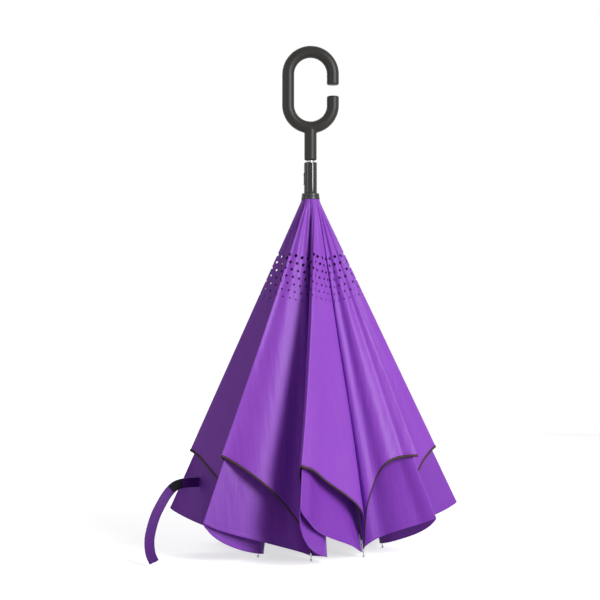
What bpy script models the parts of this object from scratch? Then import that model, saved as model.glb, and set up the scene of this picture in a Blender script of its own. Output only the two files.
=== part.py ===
# Inverted umbrella, folded, standing on its eight rib tips with its strap undone.
# Metres, +Z up. The shaft lies on the Z axis and the rib tips stand at Z = 0.
# Azimuths run from -Y toward +X, in degrees.

import bpy
import bmesh
from math import atan2, cos, degrees, hypot, pi, radians, sin, sqrt, tan
from mathutils import Matrix, Vector

# Folding frame
RIB_COUNT = 8
RIB_HINGE_HEIGHT = 0.549
HUB_HINGE_REACH = 0.010
TIP_REACH = 0.115
RIB_FOLD_DEGREES = 92.0
PIN_DISTANCE = 0.195
OPEN_HUB_SPACING = 0.014

# Clearances
PART_GAP = 0.0003
MERGE_DISTANCE = 0.00005
SHARP_DEGREES = 35.0
CUT_OVERRUN = 0.004

# Shaft
SHAFT_RADIUS = 0.0055
SHAFT_WALL = 0.0009
SHAFT_INSERT = 0.0237
SHAFT_STEPS = 32

# C handle
HANDLE_HEIGHT = 0.1827
GRIP_RADIUS = 0.00965
GRIP_END_ROUND = 0.0022
LOOP_BEND_RADIUS = 0.0356
LOOP_STRAIGHT = 0.0491
LOOP_MOUTH = 0.0177
LOOP_MOUTH_RISE = -0.0014
NECK_RADIUS = 0.0098
NECK_RISE = 0.0032
NECK_EDGE = 0.0016
NECK_FILLET = 0.0030
HANDLE_BORE_DEPTH = 0.0257
DOME_STEPS = 5
BEND_STEPS = 12
END_STEPS = 4

# Runner sleeve, collar and crown
SLEEVE_LENGTH = 0.0489
SLEEVE_RADIUS = 0.01035
SLEEVE_CAVITY_RADIUS = 0.0088
SLEEVE_EDGE = 0.0008
BUSH_LENGTH = 0.0040
SPIGOT_WALL = 0.0014
COLLAR_RISE = 0.0062
COLLAR_HEIGHT = 0.0100
COLLAR_LOW_RADIUS = 0.0150
COLLAR_TOP_RADIUS = 0.0135
COLLAR_GROOVE = 0.0005
COLLAR_GROOVE_RISE = 0.0048

# Hubs
HUB_RADIUS = 0.0130
HUB_FLOOR = 0.0060
HUB_CEILING = 0.0056
HUB_SLOT_WIDTH = 0.0020
HUB_SLOT_REACH = 0.0080
HUB_WIRE_RADIUS = 0.0005
HUB_GROOVE_HALF = 0.0009
HUB_EDGE = 0.0006
SLOT_ROOM_SHARE = 1 / 3
HUB_STEPS = 40
WIRE_SIDES = 5

# Ribs and spreaders
EYE_RADIUS = 0.0016
EYE_HOLE_RADIUS = 0.0009
EYE_STEPS = 8
HOLE_STEPS = 10
TAB_THICKNESS = 0.0014
TAB_LENGTH = 0.0120
CHANNEL_START = 0.0085
CHANNEL_WALL = 0.0005
RIB_CHANNEL_WIDTH = 0.0036
RIB_CHANNEL_DEPTH = 0.0032
RIB_CHANNEL_LENGTH = 0.215
ROD_RADIUS = 0.00125
ROD_INSIDE_CHANNEL = 0.022
SPREADER_WIDTH = 0.0028
SPREADER_DEPTH = 0.0030
ROD_SIDES = 12

# Rib tips
TIP_BALL_RADIUS = 0.0019
TIP_FLAT_DEPTH = 0.00035
TIP_NECK_RADIUS = 0.0010
TIP_NECK_LENGTH = 0.0052
TIP_SLEEVE_RADIUS = 0.0019
TIP_SLEEVE_LENGTH = 0.0180
TIP_ROD_DEPTH = 0.0150
TIP_STEPS = 10
BALL_STEPS = 5

# Latch key
KEY_RISE = 0.0131
KEY_LENGTH = 0.0239
KEY_WIDTH = 0.0056
KEY_PROUD = 0.0026
KEY_SLOPE = 0.0062
KEY_PLATE = 0.0008
KEY_PLATE_MARGIN = 0.0016
KEY_EDGE = 0.0005
SPRING_THICKNESS = 0.0003
SPRING_WIDTH = 0.0034
SPRING_LENGTH = 0.0200

# Ferrule cap and rosette
ROSETTE_RADIUS = 0.065
ROSETTE_THICKNESS = 0.0009
ROSETTE_SAG = 0.0030
CAP_RADIUS = 0.0125
CAP_HEIGHT = 0.0100
CAP_EDGE = 0.0030
CAP_BEVEL_SHARE = 1 / 3
SHAFT_END_DEPTH = 0.0050

# Canopy
CLOTH_THICKNESS = 0.0006
TOP_RING_REACH = 0.0143
UNDER_VALLEY_OUTSET = 0.0025
RAIN_VALLEY_INSET = 0.0030
SEAM_HALF_GAP = 0.00045
PETAL_REACH = 0.250
RAIN_CREST_INSET = 0.0090
RAIN_RIB_BULGE = 0.0230
RAIN_RIB_LEAVE = 0.0100
UNDER_RIB_HEM = 0.0130
RAIN_RIB_HEM = 0.0080
UNDER_CREST_HEM = 0.1550
RAIN_CREST_HEM = 0.0650
RAIN_TOP_DROP = 0.0275
RAIN_CENTRE_BOTTOM_RISE = 0.0080
COLUMN_POWER = 1.25
RAIN_WIDTH_SHARE = 0.55
CANOPY_ROWS = 7
CANOPY_SIDE_COLUMNS = 6

# Petals in order from the rib at -90 degrees: reach, lean and fullness of each crest
FIRST_RIB_AZIMUTH = -90.0
CREST_REACH_SHARES = (1.044, 1.020, 0.984, 0.968, 1.158, 1.000, 1.000, 1.000)
CREST_LEAN_DEGREES = (-22.5, -25.0, -27.5, 0.0, -7.5, -7.5, -7.5, -9.5)
CREST_WIDTH_SHARES = (0.07, 0.08, 0.12, 0.15, 0.14, 0.15, 0.15, 0.15)
UNDER_HEM_SHARES = (1.00, 1.03, 0.97, 0.99, 1.00, 1.00, 1.00, 1.00)
RAIN_HEM_SHARES = (1.00, 0.90, 1.00, 0.94, 1.00, 1.00, 1.00, 1.00)
UNDER_HEM_POWERS = (1.6, 1.6, 1.8, 3.5, 1.6, 1.6, 1.6, 1.6)
RAIN_HEM_POWERS = (1.1, 1.15, 1.9, 0.45, 1.2, 1.2, 1.2, 1.2)
LEAVE_SHARE = 0.35
ARRIVE_SHARE = 0.30

# Strap: its route from the petal down to the floor, in shares of the petals' reach
STRAP_ROUTE_SHARES = (
    (-0.8420, -0.2400, 0.4264),
    (-0.9320, -0.3800, 0.2996),
    (-0.9680, -0.5000, 0.1676),
    (-0.9592, -0.5800, 0.0796),
    (-0.9300, -0.6320, 0.0280),
)
STRAP_FACING_SHARES = (-0.55, -0.83, 0.05)
STRAP_WIDTH = 0.0150
STRAP_THICKNESS = 0.0010
STRAP_STEPS = 6
STRAP_ROOT_SHARE = 0.78
STRAP_ROOT_HEIGHT = 0.1066
ROUTE_END_SHARE = 0.0001
PROBE_SHARE = 0.05
PATCH_START_STEP = 1
PATCH_END_STEP = 3
PATCH_WIDTH = 0.0130
PATCH_THICKNESS = 0.0012


# Linkage worked out from the driving sizes

tipBallHeight = TIP_BALL_RADIUS - TIP_FLAT_DEPTH
ribAngle = atan2(TIP_REACH - HUB_HINGE_REACH, RIB_HINGE_HEIGHT - tipBallHeight)
ribLength = hypot(TIP_REACH - HUB_HINGE_REACH, RIB_HINGE_HEIGHT - tipBallHeight)
ribFold = radians(RIB_FOLD_DEGREES)
openRise = ribAngle + ribFold - pi / 2
pinClosedReach = HUB_HINGE_REACH + PIN_DISTANCE * sin(ribAngle)
pinClosedHeight = RIB_HINGE_HEIGHT - PIN_DISTANCE * cos(ribAngle)
pinOpenRun = PIN_DISTANCE * cos(openRise)
pinOpenRise = OPEN_HUB_SPACING + PIN_DISTANCE * sin(openRise)
spreaderLength = hypot(pinOpenRun, pinOpenRise)
spreaderRun = pinClosedReach - HUB_HINGE_REACH
notchHeight = pinClosedHeight - sqrt(spreaderLength ** 2 - spreaderRun ** 2)
runnerTravel = RIB_HINGE_HEIGHT - OPEN_HUB_SPACING - notchHeight
spreaderClosedElevation = atan2(pinClosedHeight - notchHeight, spreaderRun)
spreaderOpenElevation = atan2(pinOpenRise, pinOpenRun)
spreaderFold = spreaderClosedElevation - spreaderOpenElevation
spreaderOffset = (RIB_CHANNEL_WIDTH + SPREADER_WIDTH) / 2 + PART_GAP
canopyHingeRise = HUB_HINGE_REACH * tan(ribFold / 2)
canopyHingeHeight = RIB_HINGE_HEIGHT + canopyHingeRise
rainTop = pinClosedHeight - RAIN_TOP_DROP
underValleyReach = TIP_REACH + UNDER_VALLEY_OUTSET

# Heights stacked from the ribs' hinges up to the handle's top

collarBottom = RIB_HINGE_HEIGHT + COLLAR_RISE
canopyTop = collarBottom - PART_GAP
sleeveBottom = collarBottom + COLLAR_HEIGHT
sleeveTop = sleeveBottom + SLEEVE_LENGTH
keyBottom = sleeveBottom + KEY_RISE
keyTop = keyBottom + KEY_LENGTH
neckBottom = sleeveTop + NECK_RISE
shaftTop = neckBottom + SHAFT_INSERT
handleBoreTop = neckBottom + HANDLE_BORE_DEPTH
handleTop = neckBottom + HANDLE_HEIGHT


def ribAzimuth(index):
    return radians(FIRST_RIB_AZIMUTH + index * 360.0 / RIB_COUNT)


def radialDirection(azimuth):
    return Vector((sin(azimuth), -cos(azimuth), 0.0))


def tangentDirection(azimuth):
    return Vector((cos(azimuth), sin(azimuth), 0.0))


def polarPoint(reach, azimuth, height):
    return radialDirection(azimuth) * reach + Vector((0.0, 0.0, height))


# Scene, collections and materials

for oldObject in list(bpy.data.objects):
    bpy.data.objects.remove(oldObject)

partCollection = bpy.data.collections.new("inverted_umbrella")
bpy.context.scene.collection.children.link(partCollection)
cutterCollection = bpy.data.collections.new("cutters")
bpy.context.scene.collection.children.link(cutterCollection)


def makeMaterial(name, colour, roughness, metallic):
    material = bpy.data.materials.new(name)
    material.use_nodes = True
    shader = material.node_tree.nodes["Principled BSDF"]
    shader.inputs["Base Color"].default_value = (*colour, 1.0)
    shader.inputs["Roughness"].default_value = roughness
    shader.inputs["Metallic"].default_value = metallic
    material.diffuse_color = (*colour, 1.0)
    return material


softGrip = makeMaterial("soft_touch_grip", (0.012, 0.012, 0.013), 0.62, 0.0)
glossPlastic = makeMaterial("gloss_black_plastic", (0.008, 0.008, 0.010), 0.16, 0.0)
hubPlastic = makeMaterial("black_nylon", (0.015, 0.015, 0.017), 0.45, 0.0)
plainSteel = makeMaterial("bright_steel", (0.62, 0.62, 0.64), 0.22, 1.0)
blackSteel = makeMaterial("black_coated_steel", (0.020, 0.020, 0.023), 0.35, 0.6)
purpleCloth = makeMaterial("purple_satin", (0.262, 0.070, 0.539), 0.42, 0.0)
strapCloth = makeMaterial("purple_strap_cloth", (0.235, 0.062, 0.490), 0.50, 0.0)
hookPatch = makeMaterial("black_hook_tape", (0.014, 0.013, 0.016), 0.85, 0.0)


def addObject(name, data, material, collection=partCollection):
    obj = bpy.data.objects.new(name, data)
    collection.objects.link(obj)
    if material is not None:
        data.materials.append(material)
    return obj


def markCutter(obj):
    for collection in list(obj.users_collection):
        collection.objects.unlink(obj)
    cutterCollection.objects.link(obj)
    obj.hide_render = True
    obj.display_type = "WIRE"
    return obj


def addBoolean(target, other, operation):
    modifier = target.modifiers.new(operation.lower(), "BOOLEAN")
    modifier.operation = operation
    modifier.solver = "EXACT"
    modifier.object = other
    return modifier


def meshFromPoints(name, points, edges, faces):
    mesh = bpy.data.meshes.new(name)
    mesh.from_pydata([tuple(point) for point in points], edges, faces)
    mesh.update()
    return mesh


# Turned shape: the profile's (reach, height) points run down its outer side.
# A ring section is closed, and a solid one starts and ends on the axis.
def addTurned(name, profile, steps, material, closed):
    points = [(reach, 0.0, height) for reach, height in profile]
    edges = [(index, index + 1) for index in range(len(points) - 1)]
    if closed:
        edges.append((len(points) - 1, 0))
    obj = addObject(name, meshFromPoints(name, points, edges, []), material)
    screw = obj.modifiers.new("turn", "SCREW")
    screw.axis = "Z"
    screw.angle = 2 * pi
    screw.steps = steps
    screw.render_steps = steps
    screw.use_merge_vertices = True
    screw.merge_threshold = MERGE_DISTANCE
    screw.use_smooth_shade = True
    return obj


def addBox(name, centre, size, material):
    bpy.ops.mesh.primitive_cube_add(size=1.0, location=centre)
    obj = bpy.context.active_object
    obj.name = name
    for vertex in obj.data.vertices:
        vertex.co = Vector(tuple(vertex.co[axis] * size[axis] for axis in range(3)))
    for collection in list(obj.users_collection):
        collection.objects.unlink(obj)
    partCollection.objects.link(obj)
    if material is not None:
        obj.data.materials.append(material)
    return obj


# Copy of an object's evaluated mesh, welded, in the object's place
def bakeMesh(obj, material):
    depsgraph = bpy.context.evaluated_depsgraph_get()
    depsgraph.update()
    mesh = bpy.data.meshes.new_from_object(obj.evaluated_get(depsgraph))
    welded = bmesh.new()
    welded.from_mesh(mesh)
    bmesh.ops.remove_doubles(welded, verts=welded.verts, dist=MERGE_DISTANCE)
    bmesh.ops.recalc_face_normals(welded, faces=welded.faces)
    welded.to_mesh(mesh)
    welded.free()
    name = obj.name
    place = obj.matrix_world.copy()
    bpy.data.objects.remove(obj)
    mesh.materials.clear()
    baked = addObject(name, mesh, material)
    baked.matrix_world = place
    return baked


def shadeRound(mesh):
    mesh.shade_smooth()
    mesh.set_sharp_from_angle(angle=radians(SHARP_DEGREES))


# C handle: a round tube bent to a loop with a mouth, joined to a bored neck

loopBottom = handleTop - 2 * GRIP_RADIUS - 2 * LOOP_BEND_RADIUS - LOOP_STRAIGHT + GRIP_RADIUS
loopCentre = loopBottom + LOOP_BEND_RADIUS + LOOP_STRAIGHT / 2
mouthCentre = loopCentre + LOOP_MOUTH_RISE

# Points of one limb end, flat with a rounded edge, from the tip inward
def roundedEnd(tip, inward):
    points = []
    for step in range(END_STEPS + 1):
        angle = step / END_STEPS * pi / 2
        share = 1 - (1 - sin(angle)) * GRIP_END_ROUND / GRIP_RADIUS
        points.append((tip + inward * GRIP_END_ROUND * (1 - cos(angle)), share))
    return points


def bendPoints(centreHeight, startDegrees, endDegrees):
    points = []
    for step in range(BEND_STEPS + 1):
        angle = radians(startDegrees + (endDegrees - startDegrees) * step / BEND_STEPS)
        place = Vector((LOOP_BEND_RADIUS * cos(angle), 0.0, LOOP_BEND_RADIUS * sin(angle)))
        points.append((place + Vector((0.0, 0.0, centreHeight)), 1.0))
    return points


def makeHandle():
    upperTip = Vector((LOOP_BEND_RADIUS, 0.0, mouthCentre + LOOP_MOUTH / 2))
    lowerTip = Vector((LOOP_BEND_RADIUS, 0.0, mouthCentre - LOOP_MOUTH / 2))
    route = roundedEnd(upperTip, Vector((0.0, 0.0, 1.0)))
    route += bendPoints(loopCentre + LOOP_STRAIGHT / 2, 0.0, 180.0)
    route += bendPoints(loopCentre - LOOP_STRAIGHT / 2, 180.0, 360.0)
    route += list(reversed(roundedEnd(lowerTip, Vector((0.0, 0.0, -1.0)))))
    curve = bpy.data.curves.new("c_handle", "CURVE")
    curve.dimensions = "3D"
    curve.bevel_depth = GRIP_RADIUS
    curve.bevel_resolution = 4
    curve.use_fill_caps = True
    spline = curve.splines.new("POLY")
    spline.points.add(len(route) - 1)
    for point, (place, share) in zip(spline.points, route):
        point.co = (*place, 1.0)
        point.radius = share
    handle = bakeMesh(addObject("c_handle", curve, None), softGrip)
    dome = []
    for step in range(DOME_STEPS):
        angle = step / DOME_STEPS * pi / 2
        reach = (NECK_RADIUS - PART_GAP) * sin(angle)
        dome.append((reach, loopBottom + (GRIP_RADIUS - PART_GAP) * cos(angle)))
    neck = addTurned(
        "neck_body",
        dome
        + [
            (NECK_RADIUS, loopBottom - NECK_FILLET),
            (NECK_RADIUS, neckBottom + NECK_EDGE),
            (NECK_RADIUS - NECK_EDGE, neckBottom),
            (0.0, neckBottom),
        ],
        SHAFT_STEPS,
        softGrip,
        closed=False,
    )
    boreRadius = SHAFT_RADIUS + PART_GAP
    bore = addTurned(
        "handle_bore",
        [
            (0.0, handleBoreTop),
            (boreRadius, handleBoreTop),
            (boreRadius, neckBottom - CUT_OVERRUN),
            (0.0, neckBottom - CUT_OVERRUN),
        ],
        SHAFT_STEPS,
        None,
        closed=False,
    )
    addBoolean(handle, markCutter(neck), "UNION")
    addBoolean(handle, markCutter(bore), "DIFFERENCE")
    shadeRound(handle.data)
    return handle


# Shaft: one straight steel tube from the ferrule cap up into the handle

notchBottom = notchHeight - HUB_FLOOR
rosetteTop = notchBottom - PART_GAP
capTop = rosetteTop - ROSETTE_THICKNESS - PART_GAP
shaftBottom = capTop - SHAFT_END_DEPTH


def makeShaft():
    bore = SHAFT_RADIUS - SHAFT_WALL
    profile = [
        (SHAFT_RADIUS, shaftTop),
        (SHAFT_RADIUS, shaftBottom),
        (bore, shaftBottom),
        (bore, shaftTop),
    ]
    return addTurned("shaft_tube", profile, SHAFT_STEPS, plainSteel, closed=True)


# Hub: a turned ring with a wire groove, cut by one slot for each arm.
# Slots run out of the ring's top for arms that fold up, and out of its floor
# for arms that hang down.
def makeHub(name, hingeHeight, bore, opensUp, sideOffset):
    bottom = hingeHeight - HUB_FLOOR
    top = hingeHeight + HUB_CEILING
    ring = hypot(HUB_HINGE_REACH, sideOffset)
    groove = ring - HUB_GROOVE_HALF
    profile = [
        (HUB_RADIUS - HUB_EDGE, top),
        (HUB_RADIUS, top - HUB_EDGE),
        (HUB_RADIUS, hingeHeight + HUB_GROOVE_HALF),
        (groove, hingeHeight + HUB_GROOVE_HALF),
        (groove, hingeHeight - HUB_GROOVE_HALF),
        (HUB_RADIUS, hingeHeight - HUB_GROOVE_HALF),
        (HUB_RADIUS, bottom + HUB_EDGE),
        (HUB_RADIUS - HUB_EDGE, bottom),
        (bore, bottom),
        (bore, top),
    ]
    hub = addTurned(name, profile, HUB_STEPS, hubPlastic, closed=True)
    armRoom = EYE_RADIUS + PART_GAP
    low = hingeHeight - armRoom if opensUp else bottom - CUT_OVERRUN
    high = top + CUT_OVERRUN if opensUp else hingeHeight + armRoom + SPREADER_DEPTH * SLOT_ROOM_SHARE
    outer = HUB_RADIUS + CUT_OVERRUN
    slots = bpy.data.meshes.new(name + "_slots")
    cutting = bmesh.new()
    for index in range(RIB_COUNT):
        size = Vector((outer - HUB_SLOT_REACH, HUB_SLOT_WIDTH, high - low))
        centre = Vector(((outer + HUB_SLOT_REACH) / 2, sideOffset, (high + low) / 2))
        turn = Matrix.Rotation(ribAzimuth(index) - pi / 2, 4, "Z")
        place = turn @ Matrix.Translation(centre) @ Matrix.Diagonal((*size, 1.0))
        bmesh.ops.create_cube(cutting, size=1.0, matrix=place)
    cutting.to_mesh(slots)
    cutting.free()
    addBoolean(hub, markCutter(addObject(name + "_slots", slots, None)), "DIFFERENCE")
    return hub


def makeHubWire(name, hingeHeight, sideOffset):
    bpy.ops.mesh.primitive_torus_add(
        major_radius=hypot(HUB_HINGE_REACH, sideOffset),
        minor_radius=HUB_WIRE_RADIUS,
        major_segments=HUB_STEPS,
        minor_segments=WIRE_SIDES,
        location=(0.0, 0.0, hingeHeight),
    )
    wire = bpy.context.active_object
    wire.name = name
    for collection in list(wire.users_collection):
        collection.objects.unlink(wire)
    partCollection.objects.link(wire)
    wire.data.materials.append(plainSteel)
    shadeRound(wire.data)
    return wire


# Runner: glossy sleeve with two bushes and a spigot that carries collar and crown

runnerBore = SHAFT_RADIUS + PART_GAP
spigotRadius = runnerBore + SPIGOT_WALL
crownBottom = RIB_HINGE_HEIGHT - HUB_FLOOR


def makeSleeve():
    cavityTop = sleeveTop - BUSH_LENGTH
    cavityBottom = sleeveBottom + BUSH_LENGTH
    profile = [
        (SLEEVE_RADIUS - SLEEVE_EDGE, sleeveTop),
        (SLEEVE_RADIUS, sleeveTop - SLEEVE_EDGE),
        (SLEEVE_RADIUS, sleeveBottom),
        (spigotRadius, sleeveBottom),
        (spigotRadius, crownBottom),
        (runnerBore, crownBottom),
        (runnerBore, cavityBottom),
        (SLEEVE_CAVITY_RADIUS, cavityBottom),
        (SLEEVE_CAVITY_RADIUS, cavityTop),
        (runnerBore, cavityTop),
        (runnerBore, sleeveTop),
    ]
    sleeve = addTurned("runner_sleeve", profile, SHAFT_STEPS, glossPlastic, closed=True)
    wallMiddle = (SLEEVE_RADIUS + SLEEVE_CAVITY_RADIUS) / 2
    window = addBox(
        "key_window",
        (-wallMiddle, 0.0, (keyBottom + keyTop) / 2),
        (CUT_OVERRUN, KEY_WIDTH + 2 * PART_GAP, keyTop - keyBottom + 2 * PART_GAP),
        None,
    )
    addBoolean(sleeve, markCutter(window), "DIFFERENCE")
    return sleeve


def makeCollar():
    top = sleeveBottom - PART_GAP
    bore = spigotRadius + PART_GAP
    grooveHeight = collarBottom + COLLAR_GROOVE_RISE
    slope = (COLLAR_LOW_RADIUS - COLLAR_TOP_RADIUS) / (top - collarBottom)
    grooveReach = COLLAR_LOW_RADIUS - slope * COLLAR_GROOVE_RISE
    profile = [
        (COLLAR_TOP_RADIUS - SLEEVE_EDGE, top),
        (COLLAR_TOP_RADIUS, top - SLEEVE_EDGE),
        (grooveReach, grooveHeight + COLLAR_GROOVE),
        (grooveReach - COLLAR_GROOVE, grooveHeight),
        (grooveReach, grooveHeight - COLLAR_GROOVE),
        (COLLAR_LOW_RADIUS, collarBottom + COLLAR_GROOVE),
        (COLLAR_LOW_RADIUS - COLLAR_GROOVE, collarBottom),
        (bore, collarBottom),
        (bore, top),
    ]
    return addTurned("canopy_collar", profile, SHAFT_STEPS, glossPlastic, closed=True)


# Latch key: side outline in the XZ plane, with a sloped top and an inner plate
def makeLatchKey():
    outer = -(SLEEVE_RADIUS + KEY_PROUD)
    plateOuter = -(SLEEVE_CAVITY_RADIUS - PART_GAP * 2)
    inner = plateOuter + KEY_PLATE
    low = keyBottom
    high = keyTop
    keyMesh = bpy.data.meshes.new("latch_button")
    shape = bmesh.new()
    outline = [
        (inner, low),
        (outer + KEY_EDGE, low),
        (outer, low + KEY_EDGE),
        (outer, high - KEY_SLOPE),
        (plateOuter - PART_GAP, high),
        (inner, high),
    ]
    corners = [shape.verts.new((x, -KEY_WIDTH / 2, z)) for x, z in outline]
    side = shape.faces.new(corners)
    grown = bmesh.ops.extrude_face_region(shape, geom=[side])
    moved = [item for item in grown["geom"] if isinstance(item, bmesh.types.BMVert)]
    bmesh.ops.translate(shape, verts=moved, vec=(0.0, KEY_WIDTH, 0.0))
    bmesh.ops.recalc_face_normals(shape, faces=shape.faces)
    shape.to_mesh(keyMesh)
    shape.free()
    key = addObject("latch_button", keyMesh, glossPlastic)
    plate = addBox(
        "key_plate",
        ((plateOuter + inner) / 2, 0.0, (low + high) / 2),
        (KEY_PLATE, KEY_WIDTH + 2 * PART_GAP, high - low + 2 * KEY_PLATE_MARGIN),
        None,
    )
    addBoolean(key, markCutter(plate), "UNION")
    return key


def makeLatchSpring():
    cavityBottom = sleeveBottom + BUSH_LENGTH
    centre = (
        -(SHAFT_RADIUS + PART_GAP + SPRING_THICKNESS / 2),
        0.0,
        cavityBottom + PART_GAP + SPRING_LENGTH / 2,
    )
    return addBox("latch_spring", centre, (SPRING_THICKNESS, SPRING_WIDTH, SPRING_LENGTH), plainSteel)


# Arms: a flat eyed tab, a U channel open on its outer side, and an end
# Local X runs along the arm from its hinge, local Z toward its outer side.
def eyedTab(name, length):
    curve = bpy.data.curves.new(name, "CURVE")
    curve.dimensions = "2D"
    curve.fill_mode = "BOTH"
    curve.extrude = TAB_THICKNESS / 2
    outline = []
    for step in range(EYE_STEPS + 1):
        angle = pi / 2 + pi * step / EYE_STEPS
        outline.append((EYE_RADIUS * cos(angle), EYE_RADIUS * sin(angle)))
    outline += [(length, -EYE_RADIUS), (length, EYE_RADIUS)]
    hole = []
    for step in range(HOLE_STEPS):
        angle = 2 * pi * step / HOLE_STEPS
        hole.append((EYE_HOLE_RADIUS * cos(angle), EYE_HOLE_RADIUS * sin(angle)))
    for points in (outline, hole):
        spline = curve.splines.new("POLY")
        spline.points.add(len(points) - 1)
        spline.use_cyclic_u = True
        for point, place in zip(spline.points, points):
            point.co = (*place, 0.0, 1.0)
    tab = addObject(name, curve, None)
    tab.rotation_euler = (pi / 2, 0.0, 0.0)
    bpy.context.view_layer.update()
    return bakeMesh(tab, None)


def addChannel(name, start, end, width, depth):
    middle = (start + end) / 2
    channel = addBox(name, (middle, 0.0, 0.0), (end - start, width, depth), None)
    trough = addBox(
        name + "_trough",
        (middle, 0.0, CHANNEL_WALL),
        (end - start - 2 * TAB_LENGTH, width - 2 * CHANNEL_WALL, depth),
        None,
    )
    addBoolean(channel, markCutter(trough), "DIFFERENCE")
    return channel


def addRod(name, start, end, radius):
    bpy.ops.mesh.primitive_cylinder_add(
        vertices=ROD_SIDES,
        radius=radius,
        depth=end - start,
        location=((start + end) / 2, 0.0, 0.0),
        rotation=(0.0, pi / 2, 0.0),
    )
    rod = bpy.context.active_object
    rod.name = name
    return rod


# Joins the pieces of one arm and leaves a plain mesh for its copies to share
def joinArm(name, pieces, material):
    base = pieces[0]
    for piece in pieces[1:]:
        addBoolean(base, markCutter(piece), "UNION")
    base.name = name
    bpy.context.view_layer.update()
    joined = bakeMesh(base, material)
    mesh = joined.data
    mesh.transform(joined.matrix_world)
    bpy.data.objects.remove(joined)
    shadeRound(mesh)
    return mesh


def makeRibMesh():
    rodEnd = ribLength - TIP_BALL_RADIUS - TIP_NECK_LENGTH - TIP_SLEEVE_LENGTH + TIP_ROD_DEPTH
    tab = eyedTab("rib_tab", TAB_LENGTH)
    channel = addChannel(
        "rib_channel", CHANNEL_START, RIB_CHANNEL_LENGTH, RIB_CHANNEL_WIDTH, RIB_CHANNEL_DEPTH
    )
    rod = addRod("rib_rod", RIB_CHANNEL_LENGTH - ROD_INSIDE_CHANNEL, rodEnd, ROD_RADIUS)
    return joinArm("rib", [channel, tab, rod], blackSteel)


def makeSpreaderMesh():
    tab = eyedTab("spreader_tab", TAB_LENGTH)
    channel = addChannel(
        "spreader_channel", CHANNEL_START, spreaderLength, SPREADER_WIDTH, SPREADER_DEPTH
    )
    return joinArm("spreader", [channel, tab], blackSteel)


def placeArm(name, mesh, azimuth, hinge, elevation):
    arm = bpy.data.objects.new(name, mesh)
    partCollection.objects.link(arm)
    turn = Matrix.Rotation(azimuth - pi / 2, 4, "Z") @ Matrix.Rotation(-elevation, 4, "Y")
    arm.matrix_world = Matrix.Translation(hinge) @ turn
    return arm


def makeArms():
    ribMesh = makeRibMesh()
    spreaderMesh = makeSpreaderMesh()
    for index in range(RIB_COUNT):
        azimuth = ribAzimuth(index)
        hinge = polarPoint(HUB_HINGE_REACH, azimuth, RIB_HINGE_HEIGHT)
        placeArm("rib_%d" % (index + 1), ribMesh, azimuth, hinge, ribAngle - pi / 2)
        foot = polarPoint(HUB_HINGE_REACH, azimuth, notchHeight)
        foot += tangentDirection(azimuth) * spreaderOffset
        placeArm(
            "spreader_%d" % (index + 1), spreaderMesh, azimuth, foot, spreaderClosedElevation
        )


# Rib tips: sleeve over the rod's end, thin neck and a ball cut flat at the floor
def makeTips():
    floor = addBox(
        "floor_cut",
        (0.0, 0.0, -CUT_OVERRUN),
        (3 * TIP_REACH, 3 * TIP_REACH, 2 * CUT_OVERRUN),
        None,
    )
    markCutter(floor)
    ballTop = TIP_BALL_RADIUS + TIP_NECK_LENGTH
    sleeveTop = ballTop + TIP_SLEEVE_LENGTH
    rodRoom = ROD_RADIUS + PART_GAP
    boreEnd = sleeveTop - TIP_ROD_DEPTH - PART_GAP
    neckAngle = pi - TIP_NECK_RADIUS / TIP_BALL_RADIUS
    ball = []
    for step in range(BALL_STEPS + 1):
        angle = neckAngle * (1 - step / BALL_STEPS)
        ball.append((TIP_BALL_RADIUS * sin(angle), -TIP_BALL_RADIUS * cos(angle)))
    ball[-1] = (0.0, -TIP_BALL_RADIUS)
    profile = [
        (0.0, boreEnd),
        (rodRoom, boreEnd),
        (rodRoom, sleeveTop),
        (TIP_SLEEVE_RADIUS, sleeveTop),
        (TIP_SLEEVE_RADIUS, ballTop),
        (TIP_NECK_RADIUS, ballTop - TIP_NECK_RADIUS),
    ]
    for index in range(RIB_COUNT):
        azimuth = ribAzimuth(index)
        tip = addTurned("rib_tip_%d" % (index + 1), profile + ball, TIP_STEPS, plainSteel, closed=False)
        turn = Matrix.Rotation(azimuth - pi / 2, 4, "Z") @ Matrix.Rotation(-ribAngle, 4, "Y")
        tip.matrix_world = Matrix.Translation(polarPoint(TIP_REACH, azimuth, tipBallHeight)) @ turn
        addBoolean(tip, floor, "DIFFERENCE")


# Ferrule cap and rosette below the notch

def makeFerruleCap():
    bottom = capTop - CAP_HEIGHT
    seat = SHAFT_RADIUS + PART_GAP
    profile = [
        (0.0, shaftBottom - PART_GAP),
        (seat, shaftBottom - PART_GAP),
        (seat, capTop),
        (CAP_RADIUS, capTop),
        (CAP_RADIUS, bottom + CAP_EDGE),
        (CAP_RADIUS - CAP_EDGE * CAP_BEVEL_SHARE, bottom + CAP_EDGE * CAP_BEVEL_SHARE),
        (CAP_RADIUS - CAP_EDGE, bottom),
        (0.0, bottom),
    ]
    return addTurned("ferrule_cap", profile, SHAFT_STEPS, glossPlastic, closed=False)


def makeRosette():
    flat = HUB_RADIUS
    bore = SHAFT_RADIUS + PART_GAP
    low = rosetteTop - ROSETTE_THICKNESS
    profile = [
        (flat, rosetteTop),
        (ROSETTE_RADIUS, rosetteTop - ROSETTE_SAG),
        (ROSETTE_RADIUS, low - ROSETTE_SAG),
        (flat, low),
        (bore, low),
        (bore, rosetteTop),
    ]
    return addTurned("rosette", profile, SHAFT_STEPS, purpleCloth, closed=True)


# Canopy: each panel is a loft between the top ring and its folded section at Z = 0

petalStep = 360.0 / RIB_COUNT


def crestAzimuth(index):
    middle = FIRST_RIB_AZIMUTH + (index + 0.5) * petalStep
    return radians(middle + CREST_LEAN_DEGREES[index])


def bezierPoint(start, leave, arrive, end, share):
    rest = 1.0 - share
    return (
        start * rest ** 3
        + leave * 3 * share * rest ** 2
        + arrive * 3 * share ** 2 * rest
        + end * share ** 3
    )


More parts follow.
